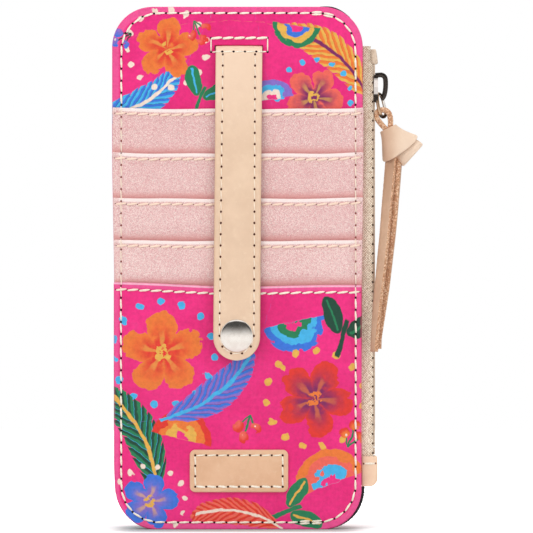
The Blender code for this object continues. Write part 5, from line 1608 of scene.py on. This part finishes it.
def make_bridge(finishes):
    """The bridge cast on the slider: an open hook that the link hangs in."""
    low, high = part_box("slider_bridge")
    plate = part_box("slider_body")[1]
    outer = high.x - BRIDGE_WALL / 2 + 0.0001
    top = high.z - BRIDGE_WALL / 2
    places = [(plate.x - 0.0009, top - 0.0002), (plate.x + 0.0008, top), (outer - 0.0014, top),
              (outer - 0.0002, top - 0.0008), (outer, top - 0.0030), (outer - 0.0001, top - 0.0056),
              (outer - 0.0006, top - 0.0080), (outer - 0.0014, low.z + 0.0003)]
    route = eased_route([(x, CHAIN_Y, z) for x, z in places])
    rings = []
    for index, (point, along) in enumerate(zip(route, headings(route))):
        share = index / (len(route) - 1)
        width = BRIDGE_WALL * (1.0 - 0.45 * smooth_step(share, 0.80, 1.0))
        depth = BRIDGE_DEPTH * (1.0 - 0.3 * smooth_step(share, 0.85, 1.0))
        rings.append(oval_ring(point, along.cross(Y_WAY).normalized(), width / 2, depth / 2, 16, 3.0))
    loft("cast_bridge", rings, finishes["gunmetal"], "slider", replaces=["slider_bridge"], slot="gunmetal")


# Edges of the layers inside the rim


RIM_INSET, RIM_THICKNESS = 0.0012, 0.0006
SIDE_INSET, SIDE_FILL_WIDTH = 0.0018, 0.0005


def box_ring(x, z, out, low_y, high_y):
    """The section of a wall: four corners about a place, either way out, from one y to another."""
    point = Vector((x, 0.0, z))
    return [point + out * way + Vector((0.0, y, 0.0))
            for way, y in ((1.0, low_y), (1.0, high_y), (-1.0, high_y), (-1.0, low_y))]


def make_corner_edge(name, centre_z, start, turn, thickness, lead, finishes):
    """The dark lining's edge that stands proud of the front's corner, from one angle round to another."""
    centre = Vector((HALF_WIDTH - CORNER_RADIUS, 0.0006, centre_z))
    rings = []
    for step in range(60):
        share = step / 59
        angle = math.radians(start + turn * share)
        grain = noise.noise(Vector((step * 0.8, 2.0, 7.0)))
        thick = thickness * (1.0 - 0.8 * smooth_step(share, 0.45, 1.0)) * (1.0 + 0.6 * grain)
        thick *= 0.2 + 0.8 * smooth_step(share, 0.0, lead)
        out = Vector((math.cos(angle), 0.0, math.sin(angle)))
        point = centre + out * (CORNER_RADIUS + 0.00005)
        rings.append([point + out * (thick * math.cos(math.tau * side / 8))
                      + Y_WAY * (0.0005 * math.sin(math.tau * side / 8)) for side in range(8)])
    loft(name, rings, finishes["lining"], "body")


def make_rim_fill(finishes):
    """The lining's edges, pressed together by the seam: from lower right, round the left, to upper right."""
    low_y, high_y = FRONT_FACE + 0.0011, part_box("back_panel")[0].y + 0.0001
    middle_x, radius = HALF_WIDTH - CORNER_RADIUS, CORNER_RADIUS - RIM_INSET
    left_side = [(-HALF_WIDTH + RIM_INSET, z) for z in rows_between(0.020, 0.180, 0.008)]
    foot, head = CORNER_RADIUS, BODY_HEIGHT - CORNER_RADIUS
    route = []
    for x, z, start, after in ((middle_x, foot, 360.0, []), (-middle_x, foot, 270.0, left_side),
                               (-middle_x, head, 180.0, []), (middle_x, head, 90.0, [])):
        angles = [math.radians(start - 7.5 * step) for step in range(13)] + [math.pi] * len(after)
        route += zip(arc(x, z, radius, start, -90.0, 12) + after, angles)
    rings = []
    for (x, z), angle in route:
        out = Vector((math.cos(angle), 0.0, math.sin(angle))) * (RIM_THICKNESS / 2)
        rings.append(box_ring(x + drawn_in(x, z), z, out, low_y, high_y))
    loft("lining_rim", rings, finishes["lining"], "body")


def make_side_fill(finishes, front):
    """The pockets' side allowances, which the seams press together behind the outermost layer."""
    tree = tree_of(*front)
    inner = FRONT_FACE + 0.0002
    half = Vector((-SIDE_FILL_WIDTH / 2, 0.0, 0.0))
    for part, finish, low_z, high_z in (("lower", "front_canvas", 0.0160, LOWER_MOUTH - 0.0012),
                                        ("card", "glitter", LOWER_MOUTH, MOUTHS[0] - 0.0012)):
        for side, sign in (("left", -1.0), ("right", 1.0)):
            rings = []
            for z in rows_between(low_z, high_z, ROW_STEP):
                x = sign * (HALF_WIDTH - SIDE_INSET)
                x += drawn_in(x, z)
                outer = min(seen_y(tree, x, z) + 0.0006, inner - 0.00005)
                rings.append(box_ring(x, z, half, outer, inner))
            loft("%s_pocket_fill_%s" % (part, side), rings, finishes[finish], "body")


# Stage


FLOOR_REACH = 0.9
# Lamps: name, place, size, power
LAMPS = [("key_lamp", (-0.55, -1.05, 1.15), 0.7, 6.4), ("fill_lamp", (0.9, -1.0, 0.5), 0.9, 2.4),
         ("top_lamp", (0.05, -0.15, 1.3), 0.6, 3.2)]
CAMERA_LENS = 264.6
CAMERA_PLACE = (0.01112, -1.5, 0.10055)


def put(name, data, place=(0.0, 0.0, 0.0), turn=(0.0, 0.0, 0.0)):
    """An object in the scene."""
    obj = bpy.data.objects.new(name, data)
    obj.location = place
    obj.rotation_euler = turn
    bpy.context.scene.collection.objects.link(obj)
    return obj


def make_floor():
    """A white floor with a painted shadow round the organizer's foot: its colour darkens there, and the glow
    that whitens it for the camera is held back there.
    """
    corners = [(x * FLOOR_REACH, y * FLOOR_REACH, 0.0) for x, y in ((-1, -1), (1, -1), (1, 1), (-1, 1))]
    mesh = bpy.data.meshes.new("floor")
    mesh.from_pydata(corners, [], [(0, 1, 2, 3)])
    made = new_material("white_floor")
    Value.tree.nodes.clear()
    camera_ray = node("LightPath", output="Is Camera Ray")
    place = node("TexCoord", output="Object")
    foot = node("VectorMath", {0: place, 1: (-0.036, -0.006, 0.0)}, operation="MAXIMUM")
    foot = node("VectorMath", {0: foot, 1: (0.036, 0.010, 0.0)}, operation="MINIMUM")
    away = node("VectorMath", {0: place, 1: foot}, "Value", operation="DISTANCE")
    # Painted shadow: the floor's colour darkens towards the foot, and the glow below is held back there
    painted_shadow_floor_tone = two_tone(away, 0.0, 0.014, (0.50, 0.56, 0.53, 1.0), (0.9, 0.9, 0.9, 1.0))
    glow = ramp(away, 0.007, 0.016, 0.0, 0.25) + ramp(away, 0.012, 0.050, 0.0, 0.75)
    glow = camera_ray * maths("MULTIPLY_ADD", speckle(place, 9.0), 0.01, glow)
    lit = node("Emission", {"Color": (1.0, 1.0, 1.0, 1.0), "Strength": glow})
    both = node("AddShader", {0: node("BsdfDiffuse", {"Color": painted_shadow_floor_tone}), 1: lit})
    node("OutputMaterial", {"Surface": both}, None)
    mesh.materials.append(made)
    put("floor", mesh)


def make_world():
    """White surroundings, darker in a band that polished metal mirrors."""
    world = bpy.data.worlds.new("studio")
    bpy.context.scene.world = world
    world.use_nodes = True
    Value.tree = world.node_tree
    Value.tree.nodes.clear()
    camera_ray = node("LightPath", output="Is Camera Ray")
    seen = maths("MAXIMUM", camera_ray, camera_ray.of("Is Transmission Ray"))
    _, back, rise = split(node("TexCoord", output="Generated"))
    band = ramp(rise, -0.10, 0.46) * ramp(rise, 0.89, 0.80)
    mirrored = ramp(ramp(back, 0.0, -0.35) * band, 0.0, 1.0, 1.0, 0.07, "LINEAR")
    strength = ramp(camera_ray.of("Is Glossy Ray"), 0.0, 1.0, AMBIENT, mirrored, "LINEAR")
    strength = ramp(seen, 0.0, 1.0, strength, 1.0, "LINEAR")
    light = node("Background", {"Color": (1.0, 1.0, 1.0, 1.0), "Strength": strength})
    node("OutputWorld", {"Surface": light}, None)


def make_stage():
    """Floor and surroundings, soft lamps and the camera."""
    make_floor()
    make_world()
    centre = Vector((0.0, 0.0, BODY_HEIGHT / 2))
    for name, place, size, power in LAMPS:
        lamp = bpy.data.lights.new(name, "AREA")
        lamp.shape = "SQUARE"
        lamp.size = size
        lamp.energy = power
        toward = (centre - Vector(place)).to_track_quat("-Z", "Y").to_euler()
        put(name, lamp, place, toward).visible_glossy = False
    camera = bpy.data.cameras.new("camera")
    camera.sensor_width = 36.0
    camera.lens = CAMERA_LENS
    camera.clip_start = 0.1
    bpy.context.scene.camera = put("camera", camera, CAMERA_PLACE, (math.radians(90.0), 0.0, 0.0))
    bpy.context.scene.view_settings.view_transform = "Standard"


def build():
    """Dresses the whole organizer."""
    make_stage()
    finishes = make_materials()
    hems = [(LOWER_HEM, LOWER_HEM_PITCH)] + [(hem, HEM_PITCH) for hem in HEMS]
    dent_at = dent_field([(PERIMETER, SEAM_PITCH)] + hems)
    rim_dent = dent_field([(PERIMETER, SEAM_PITCH)])
    front = [make_front_canvas(finishes, rim_dent)]
    back = make_back_canvas(finishes, rim_dent)
    make_linings(finishes)
    front += [*make_card_sheets(finishes, dent_at), make_lower_canvas(finishes, dent_at)]
    label = make_label(finishes)
    strap = make_strap(finishes)
    tape = make_tapes(finishes)
    tab = make_end_tab(finishes)
    make_corner_edge("lining_lower_edge", CORNER_RADIUS, 4.0, -82.0, 0.00062, 0.01, finishes)
    make_corner_edge("lining_upper_edge", BODY_HEIGHT - CORNER_RADIUS, 93.0, -46.0, 0.00042, 0.40, finishes)
    make_rim_fill(finishes)
    make_side_fill(finishes, front)
    make_seams(finishes, front, back, strap, label, tab, tape)
    finish_hard_parts(finishes)
    make_top_stop(finishes)
    make_snap_cap(finishes)
    make_loop(finishes)
    make_knot(finishes)
    make_link(finishes)
    make_bridge(finishes)
    make_tail("lace_tail_front", "pull_tail_front", finishes, 2.0, (0.0005, -0.0001), (1.22, 1.04), 1.0)
    make_tail("lace_tail_back", "pull_tail_back", finishes, 6.0, (0.0000, -0.0006), (1.0, 1.0), 1.1)


build()
